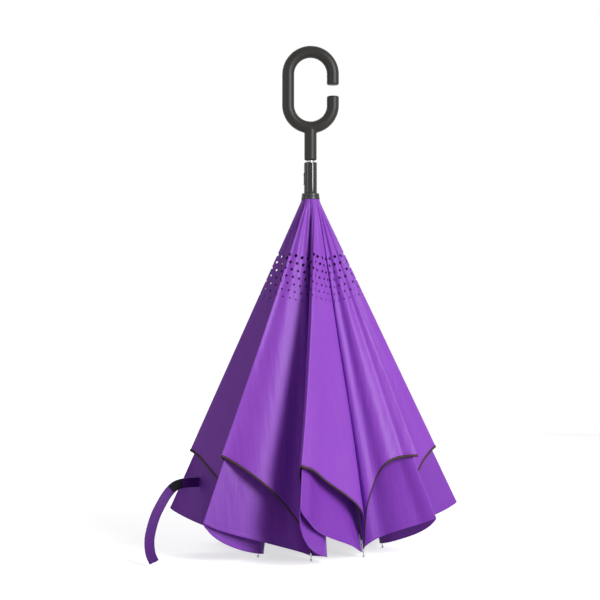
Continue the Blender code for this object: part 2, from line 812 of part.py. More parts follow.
# Side of a petal's floor section: share 0 at the rib's valley, 1 at the crest.
# Side is -1 for the rib at the lower azimuth and +1 for the other one.
def floorSection(index, side, share, rain):
    azimuth = ribAzimuth(index if side < 0 else index + 1)
    crest = crestAzimuth(index)
    outward = radialDirection(azimuth)
    inward = tangentDirection(azimuth) * -side
    crestOut = radialDirection(crest)
    crestSide = tangentDirection(crest) * side
    reach = PETAL_REACH * CREST_REACH_SHARES[index]
    depth = reach - underValleyReach
    width = depth * CREST_WIDTH_SHARES[index]
    end = crestOut * reach
    start = outward * underValleyReach + inward * SEAM_HALF_GAP
    leave = start + outward * depth * LEAVE_SHARE
    if rain:
        start = outward * (TIP_REACH - RAIN_VALLEY_INSET) + inward * SEAM_HALF_GAP
        leave = start + outward * RAIN_RIB_LEAVE + inward * RAIN_RIB_BULGE
        end = end - crestOut * RAIN_CREST_INSET
        width = width * RAIN_WIDTH_SHARE
    arrive = end - crestOut * depth * ARRIVE_SHARE + crestSide * width
    return bezierPoint(start, leave, arrive, end, share)


def topSection(index, side, share, rain):
    azimuth = ribAzimuth(index if side < 0 else index + 1)
    inward = tangentDirection(azimuth) * -side
    middle = radians(FIRST_RIB_AZIMUTH + (index + 0.5) * petalStep)
    turned = azimuth + (middle - azimuth) * share
    point = radialDirection(turned) * TOP_RING_REACH + inward * SEAM_HALF_GAP * (1.0 - share)
    if rain:
        ribReach = HUB_HINGE_REACH - (canopyTop - RIB_HINGE_HEIGHT) * tan(ribAngle)
        inset = TOP_RING_REACH - ribReach + RAIN_VALLEY_INSET
        across = radialDirection(azimuth) * (1.0 - share) + radialDirection(crestAzimuth(index)) * share
        point -= across.normalized() * inset
    return point


def hemHeight(index, share, rain):
    if rain:
        low = RAIN_RIB_HEM
        high = RAIN_CREST_HEM * RAIN_HEM_SHARES[index]
        rise = share ** RAIN_HEM_POWERS[index]
    else:
        low = UNDER_RIB_HEM
        high = UNDER_CREST_HEM * UNDER_HEM_SHARES[index]
        rise = 1.0 - (1.0 - share) ** UNDER_HEM_POWERS[index]
    return low + (high - low) * rise


def canopyPoint(index, side, share, height, rain):
    drop = 1.0 - height / canopyTop
    top = topSection(index, side, share, rain)
    floor = floorSection(index, side, share, rain)
    point = top + (floor - top) * drop
    return Vector((point.x, point.y, height))


def makePanel(index, rain):
    name = ("rain_panel_%d" if rain else "under_panel_%d") % (index + 1)
    origin = Vector((0.0, 0.0, canopyHingeHeight))
    top = rainTop if rain else canopyTop
    columns = []
    for step in range(-CANOPY_SIDE_COLUMNS, CANOPY_SIDE_COLUMNS + 1):
        side = -1 if step <= 0 else 1
        linear = 1.0 - abs(step) / CANOPY_SIDE_COLUMNS
        share = linear ** COLUMN_POWER
        columns.append((side, share))
    points = []
    for row in range(CANOPY_ROWS + 1):
        for side, share in columns:
            hem = hemHeight(index, share, rain)
            height = top + (hem - top) * row / CANOPY_ROWS
            points.append(canopyPoint(index, side, share, height, rain) - origin)
    faces = []
    width = len(columns)
    for row in range(CANOPY_ROWS):
        for column in range(width - 1):
            corner = row * width + column
            faces.append((corner, corner + width, corner + width + 1, corner + 1))
    panel = addObject(name, meshFromPoints(name, points, [], faces), purpleCloth)
    panel.location = origin
    thick = panel.modifiers.new("cloth", "SOLIDIFY")
    thick.thickness = CLOTH_THICKNESS
    thick.offset = 0.0
    panel.data.shade_smooth()
    return panel


# Inner cone of the rain canopy, from the notch up round the folded spreaders
def makeRainCentre():
    bottom = notchHeight + RAIN_CENTRE_BOTTOM_RISE
    slope = spreaderRun / (pinClosedHeight - notchHeight)
    half = SPREADER_DEPTH / 2 * sqrt(1 + slope ** 2)
    corner = spreaderOffset + SPREADER_WIDTH / 2

    def wallReach(height):
        reach = HUB_HINGE_REACH + slope * (height - notchHeight) + half
        return hypot(reach, corner) + 2 * PART_GAP

    inner = [wallReach(bottom), wallReach(rainTop)]
    profile = [
        (inner[1] + CLOTH_THICKNESS, rainTop),
        (inner[0] + CLOTH_THICKNESS, bottom),
        (inner[0], bottom),
        (inner[1], rainTop),
    ]
    return addTurned("rain_centre", profile, SHAFT_STEPS, purpleCloth, closed=True)


# Strap: a smooth strip from the first petal's rain cloth down to the floor

strapFacing = Vector(STRAP_FACING_SHARES).normalized()


def strapRoot():
    lift = (CLOTH_THICKNESS + STRAP_THICKNESS) / 2 + 2 * PART_GAP
    return canopyPoint(0, 1, STRAP_ROOT_SHARE, STRAP_ROOT_HEIGHT, True) + strapFacing * lift


def routePoint(index):
    last = len(STRAP_ROUTE_SHARES)
    index = max(0, min(last, index))
    if index == 0:
        return strapRoot()
    return Vector(STRAP_ROUTE_SHARES[index - 1]) * PETAL_REACH


def smoothRoute(position):
    position = max(0.0, min(position, len(STRAP_ROUTE_SHARES) - ROUTE_END_SHARE))
    index = int(position)
    share = position - index
    before, start, end, after = (routePoint(index + step) for step in (-1, 0, 1, 2))
    return 0.5 * (
        2 * start
        + (end - before) * share
        + (2 * before - 5 * start + 4 * end - after) * share ** 2
        + (3 * start - before - 3 * end + after) * share ** 3
    )


# Strip along the route between two steps, lifted off the strap's middle
def addStrip(name, first, last, width, thickness, lift, material):
    origin = strapRoot()
    points = []
    for step in range(first, last + 1):
        position = step / STRAP_STEPS
        along = smoothRoute(position + PROBE_SHARE) - smoothRoute(position - PROBE_SHARE)
        across = along.cross(strapFacing).normalized()
        normal = across.cross(along).normalized()
        here = smoothRoute(position) + normal * lift
        points.append(here - across * width / 2 - origin)
        points.append(here + across * width / 2 - origin)
    rows = range(last - first)
    faces = [(2 * row, 2 * row + 1, 2 * row + 3, 2 * row + 2) for row in rows]
    strip = addObject(name, meshFromPoints(name, points, [], faces), material)
    strip.location = origin
    thick = strip.modifiers.new("web", "SOLIDIFY")
    thick.thickness = thickness
    thick.offset = 0.0
    strip.data.shade_smooth()
    return strip


def makeStrap():
    end = len(STRAP_ROUTE_SHARES) * STRAP_STEPS
    addStrip("strap", 0, end, STRAP_WIDTH, STRAP_THICKNESS, 0.0, strapCloth)
    lift = (STRAP_THICKNESS + PATCH_THICKNESS) / 2 + 2 * PART_GAP
    addStrip(
        "strap_hook_patch", PATCH_START_STEP, PATCH_END_STEP, PATCH_WIDTH, PATCH_THICKNESS, lift,
        hookPatch,
    )


def main():
    makeHandle()
    makeShaft()
    makeHub("top_notch", notchHeight, SHAFT_RADIUS + PART_GAP, True, spreaderOffset)
    makeHubWire("notch_wire", notchHeight, spreaderOffset)
    makeFerruleCap()
    makeRosette()
    makeSleeve()
    makeCollar()
    makeHub("runner_crown", RIB_HINGE_HEIGHT, spigotRadius + PART_GAP, False, 0.0)
    makeHubWire("crown_wire", RIB_HINGE_HEIGHT, 0.0)
    makeLatchKey()
    makeLatchSpring()
    makeArms()
    makeTips()
    for index in range(RIB_COUNT):
        makePanel(index, rain=False)
        makePanel(index, rain=True)
    makeRainCentre()
    makeStrap()
    bpy.context.view_layer.update()
    print("spreader length", round(spreaderLength, 5), "travel", round(runnerTravel, 5))
    print("notch height", round(notchHeight, 5), "rib length", round(ribLength, 5))
    print("rib angle", round(degrees(ribAngle), 3), "spreader fold", round(degrees(spreaderFold), 3))


main()
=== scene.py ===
import math

import bmesh
import bpy
import numpy as np
from mathutils import Matrix, Vector, noise


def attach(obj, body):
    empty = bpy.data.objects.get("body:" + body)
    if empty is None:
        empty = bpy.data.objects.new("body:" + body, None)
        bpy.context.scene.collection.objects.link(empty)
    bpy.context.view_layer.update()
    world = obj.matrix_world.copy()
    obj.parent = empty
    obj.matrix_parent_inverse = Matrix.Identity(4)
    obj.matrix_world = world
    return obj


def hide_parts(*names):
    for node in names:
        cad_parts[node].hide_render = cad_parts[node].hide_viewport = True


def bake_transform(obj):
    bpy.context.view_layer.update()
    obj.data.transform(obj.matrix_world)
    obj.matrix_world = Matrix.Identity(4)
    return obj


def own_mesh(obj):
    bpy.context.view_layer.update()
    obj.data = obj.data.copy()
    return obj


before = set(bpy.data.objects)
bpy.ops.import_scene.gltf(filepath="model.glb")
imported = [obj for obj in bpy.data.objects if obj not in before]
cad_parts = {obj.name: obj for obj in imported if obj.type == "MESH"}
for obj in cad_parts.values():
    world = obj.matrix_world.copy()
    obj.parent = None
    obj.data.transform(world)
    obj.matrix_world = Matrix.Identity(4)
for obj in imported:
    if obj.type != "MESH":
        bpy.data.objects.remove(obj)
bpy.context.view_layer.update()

print("frame loaded:", len(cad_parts), "nodes")

scene = bpy.context.scene
scene.view_settings.view_transform = "Standard"

# The camera stands level in front of the umbrella, as the photograph was taken
view = {
    "place": (-0.0167, -2.216, 0.3951),
    "lens": 83.46,
    "sensor": 36.0,
}
cameraData = bpy.data.cameras.new("camera")
cameraData.lens = view["lens"]
cameraData.sensor_width = view["sensor"]
camera = bpy.data.objects.new("camera", cameraData)
camera.location = view["place"]
camera.rotation_euler = (math.radians(90.0), 0.0, 0.0)
scene.collection.objects.link(camera)
scene.camera = camera


def addLamp(name, place, target, width, power):
    data = bpy.data.lights.new(name, "AREA")
    data.shape = "RECTANGLE"
    data.size = width[0]
    data.size_y = width[1]
    data.energy = power
    lamp = bpy.data.objects.new(name, data)
    lamp.location = place
    aim = Vector(target) - Vector(place)
    lamp.rotation_euler = aim.to_track_quat("-Z", "Y").to_euler()
    scene.collection.objects.link(lamp)


# Large soft lamps: the key from the upper right, a fill from the left, one behind
studio = {
    "key": {"place": (1.50, -1.70, 1.20), "width": (0.55, 1.5), "power": 55.0},
    "fill": {"place": (-1.70, -1.20, 0.90), "width": (0.30, 1.6), "power": 5.0},
    "back": {"place": (-0.50, 1.70, 1.50), "width": (1.2, 1.0), "power": 18.0},
    "aim": (0.0, 0.0, 0.36),
    "worldLevel": 0.09,
    "floorColour": (0.80, 0.80, 0.80),
    "floorLift": 0.66,
    "floorSize": 3.8,
}
for lampName in ("key", "fill", "back"):
    lampInfo = studio[lampName]
    addLamp(lampName + "_lamp", lampInfo["place"], studio["aim"], lampInfo["width"], lampInfo["power"])


# Sets a socket to a number, a vector or an opaque colour, or links it
def feed(tree, source, socket):
    if isinstance(source, (int, float, tuple)):
        socket.default_value = source + (1.0,) if socket.type == "RGBA" else source
    else:
        tree.links.new(source, socket)


def calc(tree, operation, first, second=None, third=None):
    node = tree.nodes.new("ShaderNodeMath")
    node.operation = operation
    for slot, value in enumerate((first, second, third)):
        if value is not None:
            feed(tree, value, node.inputs[slot])
    return node.outputs[0]


def times(tree, first, second):
    return calc(tree, "MULTIPLY", first, second)


def plus(tree, first, second):
    return calc(tree, "ADD", first, second)


def minus(tree, first, second):
    return calc(tree, "SUBTRACT", first, second)


def addNode(tree, kind, **values):
    node = tree.nodes.new(kind)
    for label, value in values.items():
        feed(tree, value, node.inputs[label])
    return node


def mixShaders(tree, share, first, second):
    node = addNode(tree, "ShaderNodeMixShader")
    for slot, source in enumerate((share, first, second)):
        feed(tree, source, node.inputs[slot])
    return node.outputs[0]


# One for what the camera sees, straight, through clear pieces or in a reflection
def seenMask(tree):
    rays = addNode(tree, "ShaderNodeLightPath").outputs
    seen = calc(tree, "MAXIMUM", rays["Is Camera Ray"], rays["Is Transmission Ray"])
    return calc(tree, "MAXIMUM", seen, rays["Is Glossy Ray"])


white = (1.0, 1.0, 1.0)
world = bpy.data.worlds.new("studio")
scene.world = world
world.use_nodes = True
worldTree = world.node_tree
worldTree.nodes.clear()
worldOut = addNode(worldTree, "ShaderNodeOutputWorld")
plainLight = addNode(worldTree, "ShaderNodeBackground", Color=white, Strength=studio["worldLevel"])
whiteView = addNode(worldTree, "ShaderNodeBackground", Color=white, Strength=1.0)
worldPick = mixShaders(worldTree, seenMask(worldTree), plainLight.outputs[0], whiteView.outputs[0])
feed(worldTree, worldPick, worldOut.inputs["Surface"])

# Pale floor: its own light for what the camera sees lifts it to white, and the shadow stays
floorHalf = studio["floorSize"] / 2
floorMesh = bpy.data.meshes.new("floor")
floorMesh.from_pydata(
    [(-floorHalf, -floorHalf, 0), (floorHalf, -floorHalf, 0), (floorHalf, floorHalf, 0), (-floorHalf, floorHalf, 0)],
    [], [(0, 1, 2, 3)])
floor = bpy.data.objects.new("floor", floorMesh)
scene.collection.objects.link(floor)
floorPaint = bpy.data.materials.new("pale_floor")
floorPaint.use_nodes = True
floorTree = floorPaint.node_tree
floorTree.nodes.clear()
floorOut = addNode(floorTree, "ShaderNodeOutputMaterial")
floorMatt = addNode(floorTree, "ShaderNodeBsdfDiffuse", Color=studio["floorColour"])
lift = times(floorTree, seenMask(floorTree), studio["floorLift"])
floorGlow = addNode(floorTree, "ShaderNodeEmission", Strength=lift)
floorAdd = addNode(floorTree, "ShaderNodeAddShader")
for slot, layer in enumerate((floorMatt, floorGlow)):
    feed(floorTree, layer.outputs[0], floorAdd.inputs[slot])
# From below the floor is clear, so that the umbrella's underside can be looked at
floorSide = addNode(floorTree, "ShaderNodeNewGeometry")
floorClear = addNode(floorTree, "ShaderNodeBsdfTransparent")
floorPick = mixShaders(floorTree, floorSide.outputs["Backfacing"], floorAdd.outputs[0], floorClear.outputs[0])
feed(floorTree, floorPick, floorOut.inputs["Surface"])
floorMesh.materials.append(floorPaint)
print("camera, lamps and floor set")


# Inputs without a value are vectors, and all other sockets are plain numbers
def addGroup(name, inputs, outputs):
    group = bpy.data.node_groups.new(name, "ShaderNodeTree")
    for label, value in inputs.items():
        kind = "NodeSocketVector" if value is None else "NodeSocketFloat"
        socket = group.interface.new_socket(label, in_out="INPUT", socket_type=kind)
        if value is not None:
            socket.default_value = value
    for label in outputs:
        group.interface.new_socket(label, in_out="OUTPUT", socket_type="NodeSocketFloat")
    return group, group.nodes.new("NodeGroupInput").outputs, group.nodes.new("NodeGroupOutput").inputs


def blendColours(tree, share, first, second):
    node = addNode(tree, "ShaderNodeMix")
    node.data_type = "RGBA"
    for slot, source in ((0, share), (6, first), (7, second)):
        feed(tree, source, node.inputs[slot])
    return node.outputs[2]


def spread(tree, value, low, high, newLow, newHigh):
    node = addNode(tree, "ShaderNodeMapRange")
    for slot, number in enumerate((value, low, high, newLow, newHigh)):
        feed(tree, number, node.inputs[slot])
    return node.outputs[0]


def noiseValue(tree, vector, scale, detail=3.0, roughness=0.55):
    node = addNode(tree, "ShaderNodeTexNoise", Vector=vector, Scale=scale, Detail=detail, Roughness=roughness)
    return node.outputs["Fac"]


def stretched(tree, vector, factors):
    node = addNode(tree, "ShaderNodeVectorMath")
    node.operation = "MULTIPLY"
    feed(tree, vector, node.inputs[0])
    node.inputs[1].default_value = factors
    return node.outputs[0]


# Plain weave: crossing threads in the surface's own metres
weave, weaveIn, weaveOut = addGroup("thread weave", {"Vector": None, "Pitch": 0.0006}, ("Height", "Streaks"))
weaveSplit = addNode(weave, "ShaderNodeSeparateXYZ", Vector=weaveIn["Vector"])
turns = [times(weave, calc(weave, "DIVIDE", axis, weaveIn["Pitch"]), 2 * math.pi) for axis in weaveSplit.outputs[:2]]
crossing = times(weave, calc(weave, "SINE", turns[0]), calc(weave, "SINE", turns[1]))
feed(weave, calc(weave, "MULTIPLY_ADD", crossing, 0.5, 0.5), weaveOut["Height"])
longThreads = noiseValue(weave, stretched(weave, weaveIn["Vector"], (2600.0, 60.0, 1.0)), 1.0, 2.0)
crossThreads = noiseValue(weave, stretched(weave, weaveIn["Vector"], (60.0, 2600.0, 1.0)), 1.0, 2.0)
bothThreads = plus(weave, longThreads, crossThreads)
feed(weave, calc(weave, "MULTIPLY_ADD", bothThreads, 0.5, 0.0), weaveOut["Streaks"])

# Stitches: a dashed thread along one coordinate, at a set distance across it
stitches, stitchIn, stitchOut = addGroup(
    "stitch row", {"Along": 0.0, "Across": 0.0, "Line": 0.004, "Pitch": 0.0032, "Width": 0.0007}, ("Mask", "Pucker"))
step = calc(stitches, "FRACT", calc(stitches, "DIVIDE", stitchIn["Along"], stitchIn["Pitch"]))
onThread = calc(stitches, "LESS_THAN", step, 0.68)
away = calc(stitches, "ABSOLUTE", minus(stitches, stitchIn["Across"], stitchIn["Line"]))
near = calc(stitches, "LESS_THAN", away, times(stitches, stitchIn["Width"], 0.5))
feed(stitches, times(stitches, onThread, near), stitchOut["Mask"])
dip = spread(stitches, away, 0.0, times(stitches, stitchIn["Width"], 3.0), 1.0, 0.0)
pull = calc(stitches, "MULTIPLY_ADD", step, 0.4, 0.6)
feed(stitches, times(stitches, dip, pull), stitchOut["Pucker"])

# Slow patches of wear or handling, for colour and roughness
patches, patchIn, patchOut = addGroup("soft patches", {"Vector": None, "Scale": 12.0, "Contrast": 1.0}, ("Value",))
patchNoise = noiseValue(patches, patchIn["Vector"], patchIn["Scale"], 4.0, 0.6)
centred = minus(patches, patchNoise, 0.5)
feed(patches, calc(patches, "MULTIPLY_ADD", centred, patchIn["Contrast"], 0.5), patchOut["Value"])

# Fine grain of moulded or coated surfaces
grain, grainIn, grainOut = addGroup("fine grain", {"Vector": None, "Scale": 1500.0}, ("Height",))
grainFine = noiseValue(grain, grainIn["Vector"], grainIn["Scale"], 2.0, 0.5)
wideScale = times(grain, grainIn["Scale"], 0.12)
grainWide = noiseValue(grain, grainIn["Vector"], wideScale, 2.0, 0.5)
halfFine = times(grain, grainFine, 0.5)
feed(grain, calc(grain, "MULTIPLY_ADD", grainWide, 0.5, halfFine), grainOut["Height"])

# Brightened edges where a coating rubs
rubbed, rubIn, rubOut = addGroup("rubbed edges", {"Vector": None, "Start": 0.53, "End": 0.60}, ("Mask",))
shapeInfo = rubbed.nodes.new("ShaderNodeNewGeometry")
edgeShare = spread(rubbed, shapeInfo.outputs["Pointiness"], rubIn["Start"], rubIn["End"], 0.0, 1.0)
broken = spread(rubbed, noiseValue(rubbed, rubIn["Vector"], 420.0, 4.0, 0.7), 0.35, 0.65, 0.2, 1.0)
feed(rubbed, times(rubbed, edgeShare, broken), rubOut["Mask"])


def useGroup(tree, group, **values):
    node = tree.nodes.new("ShaderNodeGroup")
    node.node_tree = group
    for label, value in values.items():
        feed(tree, value, node.inputs[label])
    return node.outputs


def startMaterial(name):
    paint = bpy.data.materials.new(name)
    paint.use_nodes = True
    tree = paint.node_tree
    return paint, tree, tree.nodes["Principled BSDF"]


def mapOf(tree, name):
    node = tree.nodes.new("ShaderNodeUVMap")
    node.uv_map = name
    return node.outputs[0]


def objectPlace(tree):
    return tree.nodes.new("ShaderNodeTexCoord").outputs["Object"]


def splitVector(tree, vector):
    return addNode(tree, "ShaderNodeSeparateXYZ", Vector=vector).outputs


def addBump(tree, shader, height, strength, distance, below=None):
    node = addNode(tree, "ShaderNodeBump", Strength=strength, Distance=distance, Height=height)
    if below is not None:
        tree.links.new(below, node.inputs["Normal"])
    tree.links.new(node.outputs[0], shader.inputs["Normal"])
    return node.outputs[0]


def feedAll(tree, shader, values):
    for label, value in values.items():
        feed(tree, value, shader.inputs[label])


satin = {
    "bright": (0.320, 0.088, 0.580),
    "deep": (0.225, 0.044, 0.460),
    # Rain cloth colours: a deeper hue of the same satin, darkened further as painted shade from the petals above it
    "rainShadedBright": (0.265, 0.062, 0.510),
    "rainShadedDeep": (0.180, 0.029, 0.395),
    "roughness": (0.34, 0.45),
    "sheen": 0.12,
    "sheenRoughness": 0.35,
    "sheenTint": (0.72, 0.45, 1.0),
    "specular": 0.22,
    "pitch": 0.0005,
    "underSeam": 0.0058,
    "rainSeam": 0.0072,
    "roundSeam": 0.0040,
}
holes = {
    "first": 0.106,
    "spacing": 0.0114,
    "across": 0.0112,
    "rows": 7,
    "wide": 0.0024,
    "narrow": 0.0011,
    "rim": 0.0006,
    "seamRoom": 0.0028,
}


def satinFinish(tree, shader, tone, low, high):
    feedAll(tree, shader, {
        "Roughness": spread(tree, tone[0], low, high, *satin["roughness"]), "Sheen Weight": satin["sheen"],
        "Sheen Roughness": satin["sheenRoughness"], "Sheen Tint": satin["sheenTint"],
        "Specular IOR Level": satin["specular"]})


# Violet satin cloth; the handle side canopy is punched with rows of vent holes
def makeSatin(name, punched):
    paint, tree, shader = startMaterial(name)
    place = mapOf(tree, "cloth")
    edge = splitVector(tree, mapOf(tree, "edge"))
    threads = useGroup(tree, weave, Vector=place, Pitch=satin["pitch"])
    tone = useGroup(tree, patches, Vector=objectPlace(tree), Scale=9.0, Contrast=1.4)
    slowTone = times(tree, tone[0], 0.4)
    toneShare = calc(tree, "MULTIPLY_ADD", threads["Streaks"], 0.6, slowTone)
    # The rain cloth takes darker copies of the satin: partly its deeper hue, partly painted shade
    deep, bright = ("deep", "bright") if punched else ("rainShadedDeep", "rainShadedBright")
    colour = blendColours(tree, toneShare, satin[deep], satin[bright])
    seamLine = satin["underSeam"] if punched else satin["rainSeam"]
    seam = useGroup(tree, stitches, Along=splitVector(tree, place)[0], Across=edge[1], Line=seamLine)
    colour = blendColours(tree, times(tree, seam["Mask"], 0.45), colour, (0.10, 0.02, 0.24))
    height = minus(tree, times(tree, threads["Height"], 0.3), seam["Pucker"])
    if punched:
        across, along = splitVector(tree, mapOf(tree, "vents"))[0:2]
        row = calc(tree, "DIVIDE", minus(tree, along, holes["first"]), holes["spacing"])
        rowIndex = calc(tree, "MAXIMUM", calc(tree, "MINIMUM", calc(tree, "ROUND", row), holes["rows"] - 1.0), 0.0)
        stagger = times(tree, calc(tree, "MODULO", rowIndex, 2.0), 0.5)
        column = plus(tree, calc(tree, "DIVIDE", across, holes["across"]), stagger)
        offAcross = times(tree, minus(tree, column, calc(tree, "ROUND", column)), holes["across"])
        offAlong = times(tree, minus(tree, row, rowIndex), holes["spacing"])
        distance = calc(tree, "SQRT", plus(tree, times(tree, offAcross, offAcross),
                                           times(tree, offAlong, offAlong)))
        shrink = (holes["narrow"] - holes["wide"]) / (holes["rows"] - 1)
        radius = calc(tree, "MULTIPLY_ADD", rowIndex, shrink, holes["wide"])
        seamClear = calc(tree, "GREATER_THAN", edge[0], plus(tree, radius, holes["seamRoom"]))
        inside = times(tree, calc(tree, "LESS_THAN", distance, radius), seamClear)
        nearRim = calc(tree, "LESS_THAN", distance, plus(tree, radius, holes["rim"]))
        rimmed = times(tree, nearRim, seamClear)
        colour = blendColours(tree, times(tree, rimmed, 0.55), colour, (0.085, 0.012, 0.20))
        tree.links.new(minus(tree, 1.0, inside), shader.inputs["Alpha"])
        height = minus(tree, height, times(tree, rimmed, 0.5))
    tree.links.new(colour, shader.inputs["Base Color"])
    satinFinish(tree, shader, tone, 0.0, 1.0)
    crumple = noiseValue(tree, stretched(tree, place, (70.0, 16.0, 1.0)), 1.0, 3.0, 0.5)
    soft = addBump(tree, shader, crumple, 0.25, 0.004)
    addBump(tree, shader, height, 0.30, 0.0003, below=soft)
    return paint


# Dark tape folded over the hem, with a paler line of stitching along its middle
def makeHemTape():
    paint, tree, shader = startMaterial("dark_hem_tape")
    along, around = splitVector(tree, mapOf(tree, "cloth"))[0:2]
    middle = calc(tree, "ABSOLUTE", minus(tree, calc(tree, "FRACT", times(tree, around, 2.0)), 0.5))
    line = spread(tree, middle, 0.05, 0.16, 1.0, 0.0)
    row = useGroup(tree, stitches, Along=along, Across=middle, Line=0.0, Pitch=0.0030, Width=0.14)
    rib = calc(tree, "MULTIPLY_ADD", calc(tree, "SINE", times(tree, along, 2 * math.pi / 0.0009)), 0.5, 0.5)
    tone = useGroup(tree, patches, Vector=objectPlace(tree), Scale=60.0, Contrast=1.0)
    base = blendColours(tree, tone[0], (0.018, 0.008, 0.012), (0.040, 0.018, 0.024))
    colour = blendColours(tree, times(tree, line, 0.75), base, (0.105, 0.058, 0.060))
    colour = blendColours(tree, times(tree, row["Mask"], 0.6), colour, (0.11, 0.07, 0.065))
    feedAll(tree, shader, {"Base Color": colour, "Roughness": spread(tree, tone[0], 0.0, 1.0, 0.55, 0.75),
                           "Sheen Weight": 0.10, "Specular IOR Level": 0.20})
    addBump(tree, shader, plus(tree, rib, row["Pucker"]), 0.4, 0.0003)
    return paint


# Places that the cloth shares with the folding frame
umbrella = {
    "ribs": 8,
    "firstRib": -90.0,
    "ribStep": 45.0,
    "hingeHeight": 0.549,
    "hingeReach": 0.010,
    "tipReach": 0.115,
    "ribLean": 10.857,
    "pinDistance": 0.195,
    "openSpacing": 0.014,
    "foldPoint": (0.0, 0.0, 0.559355),
}

# Each petal of the folded canopy: reach, lean and fullness of its crest, and its hems
petals = {
    "reach": 0.250,
    "reachShares": (1.044, 1.020, 0.984, 0.968, 1.158, 1.0, 1.0, 1.0),
    "lean": (-22.5, -25.0, -27.5, 0.0, -7.5, -7.5, -7.5, -9.5),
    "crestBend": (0.0, 0.16, 0.2, 0.0, 0.0, 0.0, 0.0, 0.0),
    "bendDrop": 0.72,
    "widthShares": (0.07, 0.08, 0.12, 0.15, 0.14, 0.15, 0.15, 0.15),
    "top": 0.5549,
    "ringReach": 0.0143,
    "valleyReach": 0.1175,
    "seamGap": 0.00045,
    "leave": 0.35,
    "arrive": 0.30,
    "crestRound": (0.0035, 0.0040, 0.0095, 0.0035, 0.0035, 0.0035, 0.0035, 0.0035),
    "underHemPowers": (1.6, 1.6, 1.8, 3.5, 1.6, 1.6, 1.6, 1.6),
    "rainHemPowers": (1.1, 1.15, 1.35, 0.75, 1.2, 1.2, 1.2, 1.2),
    "rainBackPowers": {(1, -1): 2.4, (2, -1): 3.0, (3, 1): 1.7},
    "underHem": (0.0130, 0.1550),
    "underHemShares": (1.0, 1.03, 0.97, 0.99, 1.0, 1.0, 1.0, 1.0),
    "rainHem": (0.0080, 0.0650),
    "rainHemShares": (1.0, 1.00, 1.45, 0.94, 1.0, 1.0, 1.0, 1.0),
    "rainInset": 0.0030,
    "rainCrestInset": 0.0090,
    "rainBulge": 0.0230,
    "rainBulgeShares": {(1, -1): 2.4, (2, -1): 2.8},
    "rainLeave": 0.0100,
    "rainWidth": 0.55,
    "rainTop": 0.495,
    "columns": 34,
    "rows": 60,
    "thickness": 0.0003,
    "blendWidth": 0.026,
    "blendHeight": 0.10,
    "crestFade": (0.35, 0.85),
    "crowding": 1.7,
    "shaftRoom": 0.0068,
    "ease": 1.05,
}

# Soft ridges of the cloth: share across, spread, rise, and the drops where each starts and is full
underRidges = {
    (1, 1): ((0.10, 0.07, 0.0030, 0.25, 1.0), (0.31, 0.12, -0.0085, 0.30, 1.0), (0.64, 0.17, 0.0065, 0.15, 0.9)),
    (2, 1): ((0.28, 0.13, 0.0085, 0.15, 1.0), (0.58, 0.12, -0.0050, 0.20, 1.0), (0.80, 0.09, 0.0035, 0.45, 1.0)),
    (2, -1): ((0.60, 0.16, 0.0040, 0.35, 1.0),),
    (3, -1): ((0.15, 0.09, 0.0060, 0.10, 0.9), (0.34, 0.08, -0.0040, 0.15, 1.0), (0.54, 0.13, 0.0065, 0.20, 1.0),
              (0.76, 0.06, -0.0030, 0.25, 1.0)),
    (0, 1): ((0.35, 0.10, -0.0035, 0.20, 1.0), (0.66, 0.12, 0.0040, 0.25, 1.0)),
    (4, -1): ((0.40, 0.13, 0.0040, 0.25, 1.0), (0.70, 0.10, -0.0030, 0.35, 1.0)),
    (0, -1): ((0.45, 0.15, 0.0045, 0.25, 1.0), (0.72, 0.08, -0.0025, 0.40, 1.0)),
    (7, 1): ((0.30, 0.11, -0.0030, 0.20, 1.0), (0.58, 0.14, 0.0050, 0.30, 1.0)),
}
folds = {
    "plainRidge": ((0.45, 0.15, 0.0040, 0.25, 1.0),),
    "lead": 0.2,
    "rainShare": 0.5,
    "ends": (0.22, 0.86),
    "pleats": 2.5,
    "pleatRise": 0.0011,
    "pleatDrops": (0.08, 0.25, 0.6),
    "wander": 0.0028,
    "wanderDrops": (0.05, 0.8),
}


def smoothStep(value, low, high):
    share = min(1.0, max(0.0, (value - low) / (high - low)))
    return share * share * (3.0 - 2.0 * share)


def ribAzimuth(index):
    return math.radians(umbrella["firstRib"] + umbrella["ribStep"] * index)


def crestAzimuth(index, drop=1.0):
    bend = petals["crestBend"][index] * max(0.0, 1.0 - drop / petals["bendDrop"])
    return ribAzimuth(index + 0.5) + math.radians(petals["lean"][index]) * (1.0 - bend)


def outwardAt(azimuth):
    return Vector((math.sin(azimuth), -math.cos(azimuth), 0.0))


def sidewaysAt(azimuth):
    return Vector((math.cos(azimuth), math.sin(azimuth), 0.0))


def sideRib(index, side):
    return index if side < 0 else index + 1


def sideName(side):
    return "left" if side < 0 else "right"


